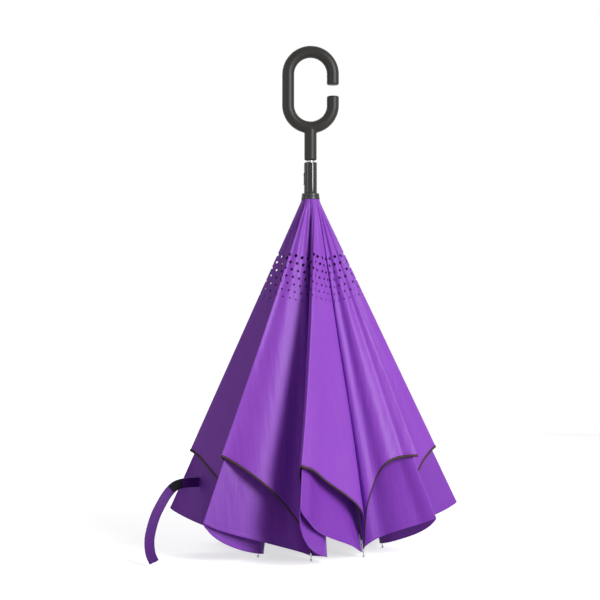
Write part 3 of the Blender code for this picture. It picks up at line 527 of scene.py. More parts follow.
# Plan of half a petal, widened to the floor: share 0 in the rib's valley, 1 at the crest
def floorCurve(index, side, share, rain, drop):
    rib = ribAzimuth(sideRib(index, side))
    outward = outwardAt(rib)
    inward = sidewaysAt(rib) * -side
    crestOut = outwardAt(crestAzimuth(index, drop))
    crestSide = sidewaysAt(crestAzimuth(index, drop)) * side
    reach = petals["reach"] * petals["reachShares"][index]
    depth = reach - petals["valleyReach"]
    width = depth * petals["widthShares"][index]
    end = crestOut * reach
    start = outward * petals["valleyReach"] + inward * petals["seamGap"]
    leave = start + outward * depth * petals["leave"]
    if rain:
        start = outward * (umbrella["tipReach"] - petals["rainInset"]) + inward * petals["seamGap"]
        bulge = petals["rainBulge"] * petals["rainBulgeShares"].get((index, side), 1.0)
        leave = start + outward * petals["rainLeave"] + inward * bulge
        end = end - crestOut * petals["rainCrestInset"]
        width = width * petals["rainWidth"]
    arrive = end - crestOut * depth * petals["arrive"] + crestSide * width
    rest = 1.0 - share
    point = start * rest ** 3 + leave * 3 * share * rest ** 2 + arrive * 3 * share ** 2 * rest + end * share ** 3
    # The crest is a rounded fold, not a sharp one
    slope = width / (depth * petals["arrive"])
    radius = petals["crestRound"][index] * slope
    off = max(0.0, (point - end).dot(crestSide))
    point += crestOut * (off - math.hypot(off, radius) + radius) / slope * smoothStep(share, *petals["crestFade"])
    return point


def topCurve(index, side, share, rain):
    rib = ribAzimuth(sideRib(index, side))
    inward = sidewaysAt(rib) * -side
    turned = rib + (ribAzimuth(index + 0.5) - rib) * share
    point = outwardAt(turned) * petals["ringReach"] + inward * petals["seamGap"] * (1.0 - share)
    if rain:
        slope = math.tan(math.radians(umbrella["ribLean"]))
        ribReach = umbrella["hingeReach"] - (petals["top"] - umbrella["hingeHeight"]) * slope
        inset = petals["ringReach"] - ribReach + petals["rainInset"]
        across = outwardAt(rib) * (1.0 - share) + outwardAt(crestAzimuth(index)) * share
        point -= across.normalized() * inset
    return point


def hemHeight(index, side, share, rain):
    if rain:
        low, high = petals["rainHem"]
        high *= petals["rainHemShares"][index]
        rise = share ** petals["rainBackPowers"].get((index, side), petals["rainHemPowers"][index])
    else:
        low, high = petals["underHem"]
        high *= petals["underHemShares"][index]
        rise = 1.0 - (1.0 - share) ** petals["underHemPowers"][index]
    return low + (high - low) * rise


def canopyPoint(index, side, share, height, rain):
    drop = 1.0 - height / petals["top"]
    top = topCurve(index, side, share, rain)
    point = top + (floorCurve(index, side, share, rain, drop) - top) * drop
    if rain:
        # Inside the folded ribs the sheet keeps clear of the spreaders' path
        along = (umbrella["hingeHeight"] - height) / math.cos(math.radians(umbrella["ribLean"]))
        clear = umbrella["openSpacing"] * max(0.0, 1.0 - along / umbrella["pinDistance"])
        flat = Vector((point.x, point.y, 0.0))
        point -= flat.normalized() * min(clear, flat.length - petals["shaftRoom"])
    return Vector((point.x, point.y, height))


def blendEnds(index, side, rain):
    apex = Vector(umbrella["foldPoint"])
    valley = canopyPoint(index, side, 0.0, petals["blendHeight"], rain)
    crest = canopyPoint(index, side, 1.0, petals["blendHeight"], rain)
    along = (valley - apex).normalized()
    across = (crest - apex) - along * (crest - apex).dot(along)
    return valley, valley + across.normalized() * petals["blendWidth"]


def rideOnPetal(piece, index, side, rain):
    start, end = blendEnds(index, side, rain)
    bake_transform(piece)


def meshObject(name, points, faces, material):
    data = bpy.data.meshes.new(name)
    data.from_pydata([tuple(float(number) for number in point) for point in points], [], faces)
    data.materials.append(material)
    piece = bpy.data.objects.new(name, data)
    scene.collection.objects.link(piece)
    return piece


def gridQuads(rows, columns, width):
    corners = [row * width + column for row in range(rows) for column in range(columns)]
    return [(corner, corner + width, corner + width + 1, corner + 1) for corner in corners]


# The same quads from behind, each still from its own first corner
def backQuads(rows, columns, width):
    return [quad[:1] + quad[:0:-1] for quad in gridQuads(rows, columns, width)]


def writeUv(piece, name, values):
    layer = piece.data.uv_layers.new(name=name)
    for loop in piece.data.loops:
        layer.data[loop.index].uv = values[loop.vertex_index]


def selectOnly(piece):
    bpy.ops.object.select_all(action="DESELECT")
    piece.select_set(True)
    bpy.context.view_layer.objects.active = piece


def useModifier(piece, kind, **settings):
    selectOnly(piece)
    step = piece.modifiers.new(kind.lower(), kind)
    for label, value in settings.items():
        setattr(step, label, value)
    bpy.ops.object.modifier_apply(modifier=step.name)


def smoothShape(piece, angle):
    selectOnly(piece)
    bpy.ops.object.shade_smooth_by_angle(angle=math.radians(angle))


def thicken(piece, thickness, angle):
    useModifier(piece, "SOLIDIFY", thickness=thickness, offset=0.0)
    smoothShape(piece, angle)


# Rise of the cloth's own soft folds, outward from the plain petal
def foldRise(index, side, share, drop, rain):
    ribFade, crestFade = folds["ends"]
    ends = smoothStep(share, 0.0, ribFade) * (1.0 - smoothStep(share, crestFade, 1.0))
    rise = 0.0
    if not rain:
        pleat = math.sin(2 * math.pi * (folds["pleats"] * share + 0.37 * index + 0.21 * side))
        full, fade, gone = folds["pleatDrops"]
        rise += folds["pleatRise"] * pleat * smoothStep(drop, 0.0, full) * (1.0 - smoothStep(drop, fade, gone))
    for centre, width, height, start, full in underRidges.get((index, side), folds["plainRidge"]):
        hump = math.exp(-((share - centre) / width) ** 2)
        rise += height * hump * smoothStep(drop, start - folds["lead"], full) * (folds["rainShare"] if rain else 1.0)
    wander = noise.noise(Vector((share * 2.3 + index * 3.1, drop * 2.6, side * 5.0 + (9.0 if rain else 0.0))))
    return ends * (rise + folds["wander"] * wander * smoothStep(drop, *folds["wanderDrops"]))


def petalGrid(index, side, rain):
    top = petals["rainTop"] if rain else petals["top"]
    columns, rows = petals["columns"], petals["rows"]
    shares = [1.0 - (1.0 - column / columns) ** petals["crowding"] for column in range(columns + 1)]
    grid = np.zeros((rows + 1, columns + 1, 3))
    drops = np.zeros((rows + 1, columns + 1))
    for column, share in enumerate(shares):
        hem = hemHeight(index, side, share, rain)
        for row in range(rows + 1):
            height = top + (hem - top) * row / rows
            grid[row, column] = canopyPoint(index, side, share, height, rain)
            drops[row, column] = 1.0 - height / petals["top"]
    across = np.gradient(grid, axis=1)
    down = np.gradient(grid, axis=0)
    normal = np.cross(across, down) * side
    normal /= np.linalg.norm(normal, axis=2, keepdims=True) + 1e-12
    for column, share in enumerate(shares):
        for row in range(rows + 1):
            grid[row, column] += normal[row, column] * foldRise(index, side, share, drops[row, column], rain)
    return grid, normal, shares


def addHalfPetal(index, side, rain, material):
    name = "%s_%d_%s" % ("rain_cloth" if rain else "under_cloth", index + 1, sideName(side))
    grid, normal, shares = petalGrid(index, side, rain)
    rows, columns = grid.shape[0] - 1, grid.shape[1] - 1
    fromRib = np.zeros(grid.shape[:2])
    fromRib[:, 1:] = np.cumsum(np.linalg.norm(np.diff(grid, axis=1), axis=2), axis=1)
    toCrest = fromRib[:, -1:] - fromRib
    down = np.zeros(grid.shape[:2])
    down[1:] = np.cumsum(np.linalg.norm(np.diff(grid, axis=0), axis=2), axis=0)
    toHem = down[-1:] - down
    apexDistance = np.linalg.norm(grid - np.array(umbrella["foldPoint"]), axis=2)
    width = columns + 1
    faces = [quad if side < 0 else quad[::-1] for quad in gridQuads(rows, columns, width)]
    piece = meshObject(name, grid.reshape(-1, 3), faces, material)
    flat = lambda first, second: list(zip(first.reshape(-1).tolist(), second.reshape(-1).tolist()))
    writeUv(piece, "cloth", flat(fromRib, apexDistance))
    writeUv(piece, "edge", flat(fromRib, toHem))
    writeUv(piece, "vents", flat(toCrest, apexDistance))
    area = sum(face.area for face in piece.data.polygons)
    thicken(piece, petals["thickness"], 50.0)
    return piece, grid, normal, area


# Binding round the hem: a flattened tube that follows the cloth's last row
def addBinding(name, grid, normal, halfHeight, halfDepth, material):
    line = grid[-1]
    upward = grid[-3] - grid[-1]
    upward /= np.linalg.norm(upward, axis=1, keepdims=True)
    outward = normal[-1]
    sides = bindings["sides"]
    along = np.concatenate([[0.0], np.cumsum(np.linalg.norm(np.diff(line, axis=0), axis=1))])
    points, places = [], []
    for place in range(len(line)):
        for turn in range(sides + 1):
            angle = 2 * math.pi * turn / sides - math.pi / 2
            middle = line[place] + upward[place] * halfHeight * bindings["rise"]
            rise, depth = halfHeight * math.sin(angle), halfDepth * math.cos(angle)
            points.append(middle + upward[place] * rise + outward[place] * depth)
            places.append((along[place], turn / sides))
    piece = meshObject(name, points, backQuads(len(line) - 1, sides, sides + 1), material)
    writeUv(piece, "cloth", places)
    shell = bmesh.new()
    shell.from_mesh(piece.data)
    bmesh.ops.remove_doubles(shell, verts=shell.verts, dist=0.00002)
    bmesh.ops.holes_fill(shell, edges=[edge for edge in shell.edges if edge.is_boundary])
    bmesh.ops.recalc_face_normals(shell, faces=shell.faces)
    shell.to_mesh(piece.data)
    shell.free()
    smoothShape(piece, 60.0)
    return piece


# Width of the hem square to the cloth's length, and length of the longest strip down the petal
def flatSize(grid):
    places = np.array([[tuple(point) for point in row] for row in grid])
    down = places[-1] - places[-2]
    down = down[1:] + down[:-1]
    down /= np.linalg.norm(down, axis=1)[:, None]
    across = np.diff(places[-1], axis=0)
    across -= (across * down).sum(axis=1)[:, None] * down
    lengths = np.linalg.norm(np.diff(places, axis=0), axis=2).sum(axis=0)
    return float(np.linalg.norm(across, axis=1).sum()), float(lengths.max())


bindings = {
    "tape": (0.0021, 0.00085),
    "roll": (0.0011, 0.00055),
    "sides": 10,
    "rise": 0.8,
}

underSatin = makeSatin("violet_satin_vented", True)
rainSatin = makeSatin("violet_satin", False)
hemTape = makeHemTape()

for index in range(umbrella["ribs"]):
    for side in (-1, 1):
        for rain in (False, True):
            cloth, grid, normal, area = addHalfPetal(index, side, rain, rainSatin if rain else underSatin)
            edgeName = "%s_hem_%d_%s" % ("rain" if rain else "under", index + 1, sideName(side))
            size = bindings["roll" if rain else "tape"]
            hem = addBinding(edgeName, grid, normal, size[0], size[1], rainSatin if rain else hemTape)
            for part in (cloth, hem):
                rideOnPetal(part, index, side, rain)
            cut = flatSize(grid)
            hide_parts(("rain_panel_%d" if rain else "under_panel_%d") % (index + 1))
    print("petal", index + 1, "made")


def settle(piece, body, node=None):
    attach(piece, body)
    if node:
        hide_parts(node)


def setMode(mode):
    bpy.ops.object.mode_set(mode=mode)


def pickAll():
    bpy.ops.mesh.select_all(action="SELECT")


def extrude(step):
    bpy.ops.mesh.extrude_region_move(TRANSFORM_OT_translate={"value": step})


def selectParts(kind, test):
    piece = bpy.context.view_layer.objects.active
    bpy.ops.mesh.select_mode(type=kind)
    bpy.ops.mesh.select_all(action="DESELECT")
    data = bmesh.from_edit_mesh(piece.data)
    for item in {"VERT": data.verts, "EDGE": data.edges, "FACE": data.faces}[kind]:
        item.select_set(bool(test(item)))
    data.select_flush_mode()
    bmesh.update_edit_mesh(piece.data)


def middleOf(item):
    return sum((corner.co for corner in item.verts), Vector()) / len(item.verts)


def facing(direction, limit=0.99):
    return lambda face: face.normal.dot(Vector(direction)) > limit


def nameShape(name, size=(1.0, 1.0, 1.0)):
    piece = bpy.context.active_object
    piece.name = name
    piece.scale = size
    bpy.ops.object.transform_apply(location=True, rotation=True, scale=True)
    return piece


def addCylinder(name, radius, low, high, sides):
    bpy.ops.object.select_all(action="DESELECT")
    middle = (0, 0, (low + high) / 2)
    bpy.ops.mesh.primitive_cylinder_add(vertices=sides, radius=radius, depth=high - low, location=middle)
    return nameShape(name)


def addBlock(name, place, size):
    bpy.ops.object.select_all(action="DESELECT")
    bpy.ops.mesh.primitive_cube_add(size=1.0, location=place)
    return nameShape(name, size)


# Corner points (reach, height, rounding) become a profile with soft corners
def roundProfile(corners, closed, steps):
    points = []
    for place, (reach, height, rounding) in enumerate(corners):
        here = Vector((reach, 0, height))
        ends = not closed and place in (0, len(corners) - 1)
        if rounding == 0 or ends:
            points.append(here)
            continue
        before = Vector((corners[place - 1][0], 0, corners[place - 1][1])) - here
        after = corners[(place + 1) % len(corners)]
        after = Vector((after[0], 0, after[1])) - here
        start, end = here + before.normalized() * rounding, here + after.normalized() * rounding
        for step in range(steps + 1):
            share = step / steps
            points.append(start * (1 - share) ** 2 + here * (2 * share * (1 - share)) + end * share ** 2)
    return points


# Leaves the line in edit mode, with its last vertex selected
def drawLine(name, points):
    bpy.ops.object.select_all(action="DESELECT")
    bpy.ops.mesh.primitive_plane_add(size=0.001, location=(0, 0, 0))
    piece = bpy.context.active_object
    piece.name = name
    setMode("EDIT")
    bpy.ops.mesh.select_mode(type="VERT")
    pickAll()
    bpy.ops.mesh.merge(type="CENTER")
    bpy.ops.transform.translate(value=points[0])
    for before, after in zip(points, points[1:]):
        bpy.ops.mesh.extrude_vertices_move(TRANSFORM_OT_translate={"value": after - before})
    return piece


def weldMesh(distance):
    pickAll()
    bpy.ops.mesh.remove_doubles(threshold=distance)
    bpy.ops.mesh.normals_make_consistent(inside=False)
    setMode("OBJECT")


# A profile is drawn by extruding one vertex along it, then spun round the shaft's axis
def turnPiece(name, corners, closed, sides=96, steps=4):
    points = roundProfile(corners, closed, steps)
    piece = drawLine(name, points)
    if closed:
        bpy.ops.mesh.extrude_vertices_move(TRANSFORM_OT_translate={"value": points[0] - points[-1]})
    pickAll()
    bpy.ops.mesh.spin(steps=sides, angle=2 * math.pi, center=(0, 0, 0), axis=(0, 0, 1))
    weldMesh(0.000005)
    return piece


def cutWith(piece, cutter, operation="DIFFERENCE"):
    useModifier(piece, "BOOLEAN", operation=operation, solver="EXACT", object=cutter)
    bpy.data.objects.remove(cutter)


def finishPiece(piece, material, angle=35.0):
    piece.data.materials.clear()
    piece.data.materials.append(material)
    smoothShape(piece, angle)


def softEdges(piece, width, segments=3, angle=30.0):
    useModifier(piece, "BEVEL", width=width, segments=segments, limit_method="ANGLE",
                angle_limit=math.radians(angle), harden_normals=False)


def plainPaint(name, dark, light, rough, grainScale=1500.0, grainStrength=0.1, wear=None, coat=0.0, specular=0.5):
    paint, tree, shader = startMaterial(name)
    place = objectPlace(tree)
    tone = useGroup(tree, patches, Vector=place, Scale=35.0, Contrast=1.5)
    colour = blendColours(tree, tone[0], dark, light)
    if wear is not None:
        edges = useGroup(tree, rubbed, Vector=place)
        colour = blendColours(tree, edges["Mask"], colour, wear)
    feedAll(tree, shader, {"Base Color": colour, "Roughness": spread(tree, tone[0], 0.0, 1.0, *rough),
                           "Specular IOR Level": specular, "Coat Weight": coat, "Coat Roughness": 0.06})
    speck = useGroup(tree, grain, Vector=place, Scale=grainScale)
    addBump(tree, shader, speck[0], grainStrength, 0.0002)
    return paint


softGrip = plainPaint("soft_touch_black", (0.007, 0.006, 0.005), (0.014, 0.012, 0.011), (0.40, 0.50),
                      grainScale=1900.0, grainStrength=0.16, wear=(0.040, 0.037, 0.035), specular=0.36)
glossBlack = plainPaint("gloss_black", (0.004, 0.004, 0.004), (0.009, 0.009, 0.009), (0.12, 0.22),
                        grainScale=500.0, grainStrength=0.01, wear=(0.05, 0.05, 0.05), coat=0.3, specular=0.4)
mattCollar = plainPaint("collar_black", (0.010, 0.009, 0.010), (0.020, 0.019, 0.020), (0.34, 0.46),
                        grainStrength=0.12, wear=(0.06, 0.06, 0.06))
blackNylon = plainPaint("black_nylon", (0.012, 0.012, 0.013), (0.024, 0.024, 0.026), (0.42, 0.55),
                        grainScale=1700.0, grainStrength=0.18)


# Drawn steel: fine lines along the height and slow dull patches
def makeSteel(name, dark, light, rough, metallic, lines=(2400.0, 2400.0, 60.0)):
    paint, tree, shader = startMaterial(name)
    place = objectPlace(tree)
    drawn = noiseValue(tree, stretched(tree, place, lines), 1.0, 2.0, 0.5)
    tone = useGroup(tree, patches, Vector=place, Scale=28.0, Contrast=1.4)
    share = calc(tree, "MULTIPLY_ADD", drawn, 0.5, times(tree, tone[0], 0.5))
    feedAll(tree, shader, {"Base Color": blendColours(tree, share, dark, light),
                           "Roughness": spread(tree, share, 0.2, 0.8, *rough), "Metallic": metallic})
    addBump(tree, shader, drawn, 0.05, 0.0001)
    return paint


# The bright steel is held darker than plain steel, a painted shade for the dark surroundings that it reflects
brightSteel = makeSteel("bright_steel", (0.34, 0.34, 0.35), (0.56, 0.56, 0.57), (0.18, 0.32), 1.0)
coatedSteel = makeSteel("black_coated_steel", (0.012, 0.012, 0.014), (0.030, 0.030, 0.034), (0.30, 0.45),
                        0.35, lines=(900.0, 900.0, 900.0))

# C handle: a round bar bent to a loop with a mouth, and a bored neck
handle = {
    "top": 0.800,
    "grip": 0.00965,
    "bend": 0.0356,
    "straight": 0.0491,
    "mouth": 0.0177,
    "mouthRise": -0.0014,
    "endRound": 0.0022,
    "neck": 0.0098,
    "neckBottom": 0.6173,
    "neckEdge": 0.0016,
    "bore": 0.0058,
    "boreTop": 0.6430,
    "boreRoom": 0.004,
    "sides": 48,
    "bendSteps": 36,
    "voxel": 0.00075,
}


def makeHandle():
    grip, bend, straight = handle["grip"], handle["bend"], handle["straight"]
    sides, steps = handle["sides"], handle["bendSteps"]
    loopBottom = handle["top"] - grip - 2 * bend - straight
    centre = loopBottom + bend + straight / 2
    mouth = centre + handle["mouthRise"]
    upper = mouth + handle["mouth"] / 2
    lower = mouth - handle["mouth"] / 2
    bpy.ops.object.select_all(action="DESELECT")
    bpy.ops.mesh.primitive_circle_add(vertices=sides, radius=grip, fill_type="NGON", location=(bend, 0, upper))
    loop = nameShape("handle_loop")
    setMode("EDIT")
    bpy.ops.mesh.select_mode(type="FACE")
    pickAll()
    rise = centre + straight / 2 - upper
    extrude((0, 0, rise))
    bpy.ops.mesh.spin(steps=steps, angle=math.pi, center=(0, 0, centre + straight / 2), axis=(0, 1, 0))
    extrude((0, 0, -straight))
    bpy.ops.mesh.spin(steps=steps, angle=math.pi, center=(0, 0, centre - straight / 2), axis=(0, 1, 0))
    extrude((0, 0, lower - (centre - straight / 2)))
    weldMesh(0.00002)
    softEdges(loop, handle["endRound"], segments=5, angle=60.0)
    neck = addCylinder("handle_neck", handle["neck"], handle["neckBottom"], loopBottom, sides)
    setMode("EDIT")
    selectParts("FACE", facing((0, 0, -1)))
    bpy.ops.mesh.bevel(offset=handle["neckEdge"], segments=2, affect="EDGES")
    setMode("OBJECT")
    cutWith(loop, neck, "UNION")
    boreLow = handle["neckBottom"] - handle["boreRoom"]
    bore = addCylinder("handle_bore", handle["bore"], boreLow, handle["boreTop"], sides)
    cutWith(loop, bore)
    useModifier(loop, "REMESH", mode="VOXEL", voxel_size=handle["voxel"])
    useModifier(loop, "SMOOTH", factor=0.5, iterations=6)
    loop.name = "c_handle_grip"
    finishPiece(loop, softGrip, 60.0)
    return loop


grip = makeHandle()
settle(grip, "shaft", "c_handle")
print("handle made:", len(grip.data.polygons), "faces")

shaft = {"radius": 0.0055, "wall": 0.0009, "bottom": 0.15012, "top": 0.641}
shaftBore = shaft["radius"] - shaft["wall"]
tube = turnPiece("steel_shaft", [
    (shaft["radius"], shaft["top"], 0.0002), (shaft["radius"], shaft["bottom"], 0.0002),
    (shaftBore, shaft["bottom"], 0.0002), (shaftBore, shaft["top"], 0.0002)], True, 64)
finishPiece(tube, brightSteel)
settle(tube, "shaft", "shaft_tube")
print("shaft made")

# Runner: a glossy sleeve with a key window, a flared collar below it
runner = {
    "top": 0.6141,
    "bottom": 0.5652,
    "radius": 0.01035,
    "cavity": 0.0088,
    "bush": 0.0040,
    "bore": 0.0058,
    "spigot": 0.0072,
    "spigotBottom": 0.5430,
    "edge": 0.0008,
    "keyLow": 0.5783,
    "keyHigh": 0.6022,
    "keyWidth": 0.0056,
    "keyProud": 0.0009,
    "keySlope": 0.0062,
    "keyEdge": 0.00028,
    "gap": 0.0003,
    "windowEdge": 0.0007,
    "windowDepth": 0.0040,
    "plate": 0.0008,
    "plateRoom": 0.0032,
    "ridges": 4,
    "ridgeRise": 0.0040,
    "ridgePitch": 0.0030,
    "ridgeWidth": 0.0009,
    "ridgeDepth": 0.00045,
    "slopeStart": 0.0010,
}
catchLeaf = {
    "proud": 0.0004,
    "bends": ((0, 0.6012), (0.0013, 0.5985), (0.0024, 0.6016)),
    "width": 0.0036,
    "thickness": 0.0008,
    "edge": 0.0002,
}


def makeSleeve():
    top, bottom, edge = runner["top"], runner["bottom"], runner["edge"]
    sleeve = turnPiece("gloss_sleeve", [
        (runner["radius"], top, edge), (runner["radius"], bottom, edge * 0.4), (runner["spigot"], bottom, 0),
        (runner["spigot"], runner["spigotBottom"], 0.0002), (runner["bore"], runner["spigotBottom"], 0.0002),
        (runner["bore"], bottom + runner["bush"], 0), (runner["cavity"], bottom + runner["bush"], 0),
        (runner["cavity"], top - runner["bush"], 0), (runner["bore"], top - runner["bush"], 0),
        (runner["bore"], top, 0.0004)], True)
    middle = (runner["keyLow"] + runner["keyHigh"]) / 2
    room = 2 * runner["gap"]
    window = addBlock("key_window", (-(runner["radius"] + runner["cavity"]) / 2, 0, middle),
                      (runner["windowDepth"], runner["keyWidth"] + room, runner["keyHigh"] - runner["keyLow"] + room))
    softEdges(window, runner["windowEdge"], 3)
    cutWith(sleeve, window)
    finishPiece(sleeve, glossBlack, 30.0)
    return sleeve


sleeve = makeSleeve()
settle(sleeve, "runner", "runner_sleeve")

collar = {"low": 0.5552, "high": 0.5649, "lowRadius": 0.0150, "highRadius": 0.0135, "bore": 0.0075, "groove": 0.0005,
          "grooveRise": 0.0048}


def makeCollar():
    low, high, groove = collar["low"], collar["high"], collar["groove"]
    grooveHeight = low + collar["grooveRise"]
    slope = (collar["lowRadius"] - collar["highRadius"]) / (high - low)
    grooveReach = collar["lowRadius"] - slope * collar["grooveRise"]
    piece = turnPiece("flared_collar", [
        (collar["highRadius"], high, 0.0009), (grooveReach, grooveHeight + groove, 0.0001),
        (grooveReach - groove, grooveHeight, 0.0001), (grooveReach, grooveHeight - groove, 0.0001),
        (collar["lowRadius"], low, 0.0006), (collar["bore"], low, 0.0002), (collar["bore"], high, 0.0002)], True)
    finishPiece(piece, mattCollar, 30.0)
    return piece


flare = makeCollar()
settle(flare, "runner", "canopy_collar")


# Latch key: a sloped block with finger ridges on a thin inner plate
def makeKey():
    outer = -(runner["radius"] + runner["keyProud"])
    plateOuter = -(runner["cavity"] - 2 * runner["gap"])
    inner = plateOuter + runner["plate"]
    low, high = runner["keyLow"], runner["keyHigh"]
    middle = (low + high) / 2
    depth, width = runner["ridgeDepth"], runner["ridgeWidth"]
    ridges = [low + runner["ridgeRise"] + ridge * runner["ridgePitch"] for ridge in range(runner["ridges"])]
    key = addBlock("latch_key", ((outer + inner) / 2, 0, middle), (inner - outer, runner["keyWidth"], high - low))
    setMode("EDIT")
    selectParts("VERT", lambda corner: corner.co.z > high - runner["slopeStart"] and corner.co.x < (outer + inner) / 2)
    bpy.ops.transform.translate(value=(0, 0, -runner["keySlope"]))
    for ridge in ridges:
        for edge in (0.0, width):
            pickAll()
            bpy.ops.mesh.bisect(plane_co=(0, 0, ridge + edge), plane_no=(0, 0, 1))
    selectParts("FACE", lambda face: face.normal.x < -0.9 and any(
        abs(middleOf(face).z - (ridge + width / 2)) < width / 3 for ridge in ridges))
    bpy.ops.transform.translate(value=(depth, 0, 0))
    setMode("OBJECT")
    plate = addBlock("key_plate", ((plateOuter + inner) / 2, 0, middle),
                     (runner["plate"], runner["keyWidth"] + 2 * runner["gap"], high - low + runner["plateRoom"]))
    cutWith(key, plate, "UNION")
    softEdges(key, runner["keyEdge"], 3, 40.0)
    finishPiece(key, glossBlack, 35.0)
    return key


# Steel catch: a bent leaf that shows at the top of the window
def makeCatch():
    outer, width = -(runner["radius"] + catchLeaf["proud"]), catchLeaf["width"]
    points = [Vector((outer + reach, -width / 2, height)) for reach, height in catchLeaf["bends"]]
    leaf = drawLine("steel_catch", points)
    pickAll()
    extrude((0, width, 0))
    setMode("OBJECT")
    useModifier(leaf, "SOLIDIFY", thickness=catchLeaf["thickness"], offset=0.0)
    softEdges(leaf, catchLeaf["edge"], 2, 40.0)
    finishPiece(leaf, brightSteel, 35.0)
    return leaf


catch = makeCatch()
settle(catch, "latch")
key = makeKey()
settle(key, "latch", "latch_button")
print("runner, collar and key made")

# Ferrule cap below the rosette, a low turned boss
cap = {"top": 0.15483, "height": 0.0100, "radius": 0.0125, "edge": 0.0030, "seat": 0.0058, "seatFloor": 0.1495,
       "rimShares": (0.60, 0.56), "dish": 0.0005}


def makeCap():
    top, bottom, radius = cap["top"], cap["top"] - cap["height"], cap["radius"]
    outer, inner = cap["rimShares"]
    piece = turnPiece("boss_cap", [
        (0, cap["seatFloor"], 0), (cap["seat"], cap["seatFloor"], 0), (cap["seat"], top, 0.0002),
        (radius, top, 0.0004), (radius, bottom, cap["edge"]), (radius * outer, bottom, 0.0002),
        (radius * inner, bottom + cap["dish"], 0.0002), (0, bottom + cap["dish"], 0)], False, steps=6)
    finishPiece(piece, glossBlack, 30.0)
    return piece


boss = makeCap()
settle(boss, "shaft", "ferrule_cap")

# Rib tips: a ball cut flat by the floor, a thin neck and a drawn tube on the rib
tips = {
    "ballRadius": 0.0019,
    "ballHeight": 0.00155,
    "neckRadius": 0.0010,
    "neckLength": 0.0052,
    "sleeveRadius": 0.0019,
    "sleeveLength": 0.0180,
    "rodRoom": 0.00155,
    "rodDepth": 0.0150,
    "ballSteps": 14,
    "ballEnd": 1.05,
    "boreRoom": 0.0003,
}


def makeTipModel():
    ball, neck, tube = tips["ballRadius"], tips["neckRadius"], tips["sleeveRadius"]
    neckEnd = ball + tips["neckLength"]
    tipEnd = neckEnd + tips["sleeveLength"]
    corners = []
    boreFloor = tipEnd - tips["rodDepth"] - tips["boreRoom"]
    for step in range(tips["ballSteps"] + 1):
        angle = math.pi - (math.pi - neck / ball) * step / tips["ballSteps"]
        corners.append((ball * abs(math.sin(angle)) if step else 0, ball * math.cos(angle), 0))
    corners += [(neck, ball * tips["ballEnd"], 0), (neck, neckEnd - neck, 0.0004), (tube, neckEnd, 0.0005),
                (tube, tipEnd, 0.0002), (tips["rodRoom"], tipEnd, 0.0001), (tips["rodRoom"], boreFloor, 0),
                (0, boreFloor, 0)]
    return turnPiece("tip_model", corners, False, 32)


tipModel = makeTipModel()
floorCutter = addBlock("floor_cutter", (0, 0, -0.01), (0.5, 0.5, 0.02))
for index in range(umbrella["ribs"]):
    tip = tipModel.copy()
    tip.data = tipModel.data.copy()
    tip.name = "steel_tip_%d" % (index + 1)
    scene.collection.objects.link(tip)
    azimuth = ribAzimuth(index)
    turn = Matrix.Rotation(azimuth - math.pi / 2, 4, "Z") @ Matrix.Rotation(math.radians(-umbrella["ribLean"]), 4, "Y")
    place = outwardAt(azimuth) * umbrella["tipReach"] + Vector((0, 0, tips["ballHeight"]))
    tip.data.transform(Matrix.Translation(place) @ turn)
    useModifier(tip, "BOOLEAN", operation="DIFFERENCE", solver="EXACT", object=floorCutter)
    finishPiece(tip, brightSteel, 35.0)
    settle(tip, "rib_%d_arm" % (index + 1), "rib_tip_%d" % (index + 1))
bpy.data.objects.remove(tipModel)
bpy.data.objects.remove(floorCutter)
print("cap and tips made")

# Strap: a stitched band of canopy cloth with a hook tape patch near its root
strap = {
    "root": (-0.176118, -0.011000, 0.106670),
    "route": ((-0.2105, -0.0600, 0.1066), (-0.2330, -0.0950, 0.0749), (-0.2420, -0.1250, 0.0419),
              (-0.2398, -0.1450, 0.0199), (-0.2325, -0.1580, 0.0070)),
    "facing": (0.12, -0.99, 0.05),
    "start": 0.0,
    "end": 5.0,
    "lift": 0.0,
    "width": 0.0150,
    "thickness": 0.0010,
    "steps": 16,
    "columns": 12,
    "cup": 0.0004,
    "endRagged": 0.0014,
    "ripple": 0.00015,
    "headingStep": 0.05,
    # Strap colours: the canopy satin darkened to about half, a painted shade
    "deep": (0.088, 0.014, 0.200),
    "bright": (0.130, 0.030, 0.260),
}
patch = {"start": 0.74, "end": 1.20, "width": 0.0130, "thickness": 0.0012, "lift": 0.0014, "steps": 30,
         "columns": 10, "cup": 0.0}
strapFacing = Vector(strap["facing"]).normalized()


def routeStop(index):
    stops = [Vector(strap["root"])] + [Vector(stop) for stop in strap["route"]]
    return stops[max(0, min(len(stops) - 1, index))]


def routePlace(position):
    position = max(0.0, min(position, len(strap["route"]) - 0.0001))
    index = int(position)
    share = position - index
    before, start, end, after = (routeStop(index + offset) for offset in (-1, 0, 1, 2))
    return 0.5 * (2 * start + (end - before) * share + (2 * before - 5 * start + 4 * end - after) * share ** 2
                  + (3 * start - before - 3 * end + after) * share ** 3)


# Places across and along one stretch of the band, in rows, with their metres
def bandRows(sizes):
    first, width, columns = sizes["start"], sizes["width"], sizes["columns"]
    rows, along = [], 0.0
    last = min(sizes["end"], float(len(strap["route"])))
    count = max(2, round((last - first) * sizes["steps"]))
    previous = None
    for row in range(count + 1):
        position = first + (last - first) * row / count
        heading = routePlace(position + strap["headingStep"]) - routePlace(position - strap["headingStep"])
        across = heading.cross(strapFacing).normalized()
        normal = across.cross(heading).normalized()
        here = routePlace(position) + normal * sizes["lift"]
        along += 0.0 if previous is None else (here - previous).length
        previous = here
        line = []
        for column in range(columns + 1):
            share = 2 * column / columns - 1
            wave = noise.noise(Vector((share * 1.5, along * 90, 3.0)))
            rise = sizes["cup"] * (share ** 2 - 0.5) + strap["ripple"] * wave
            line.append((here + across * (width / 2 * share) + normal * rise, width / 2 * (share + 1), along, share))
        rows.append(line)
    return rows, along


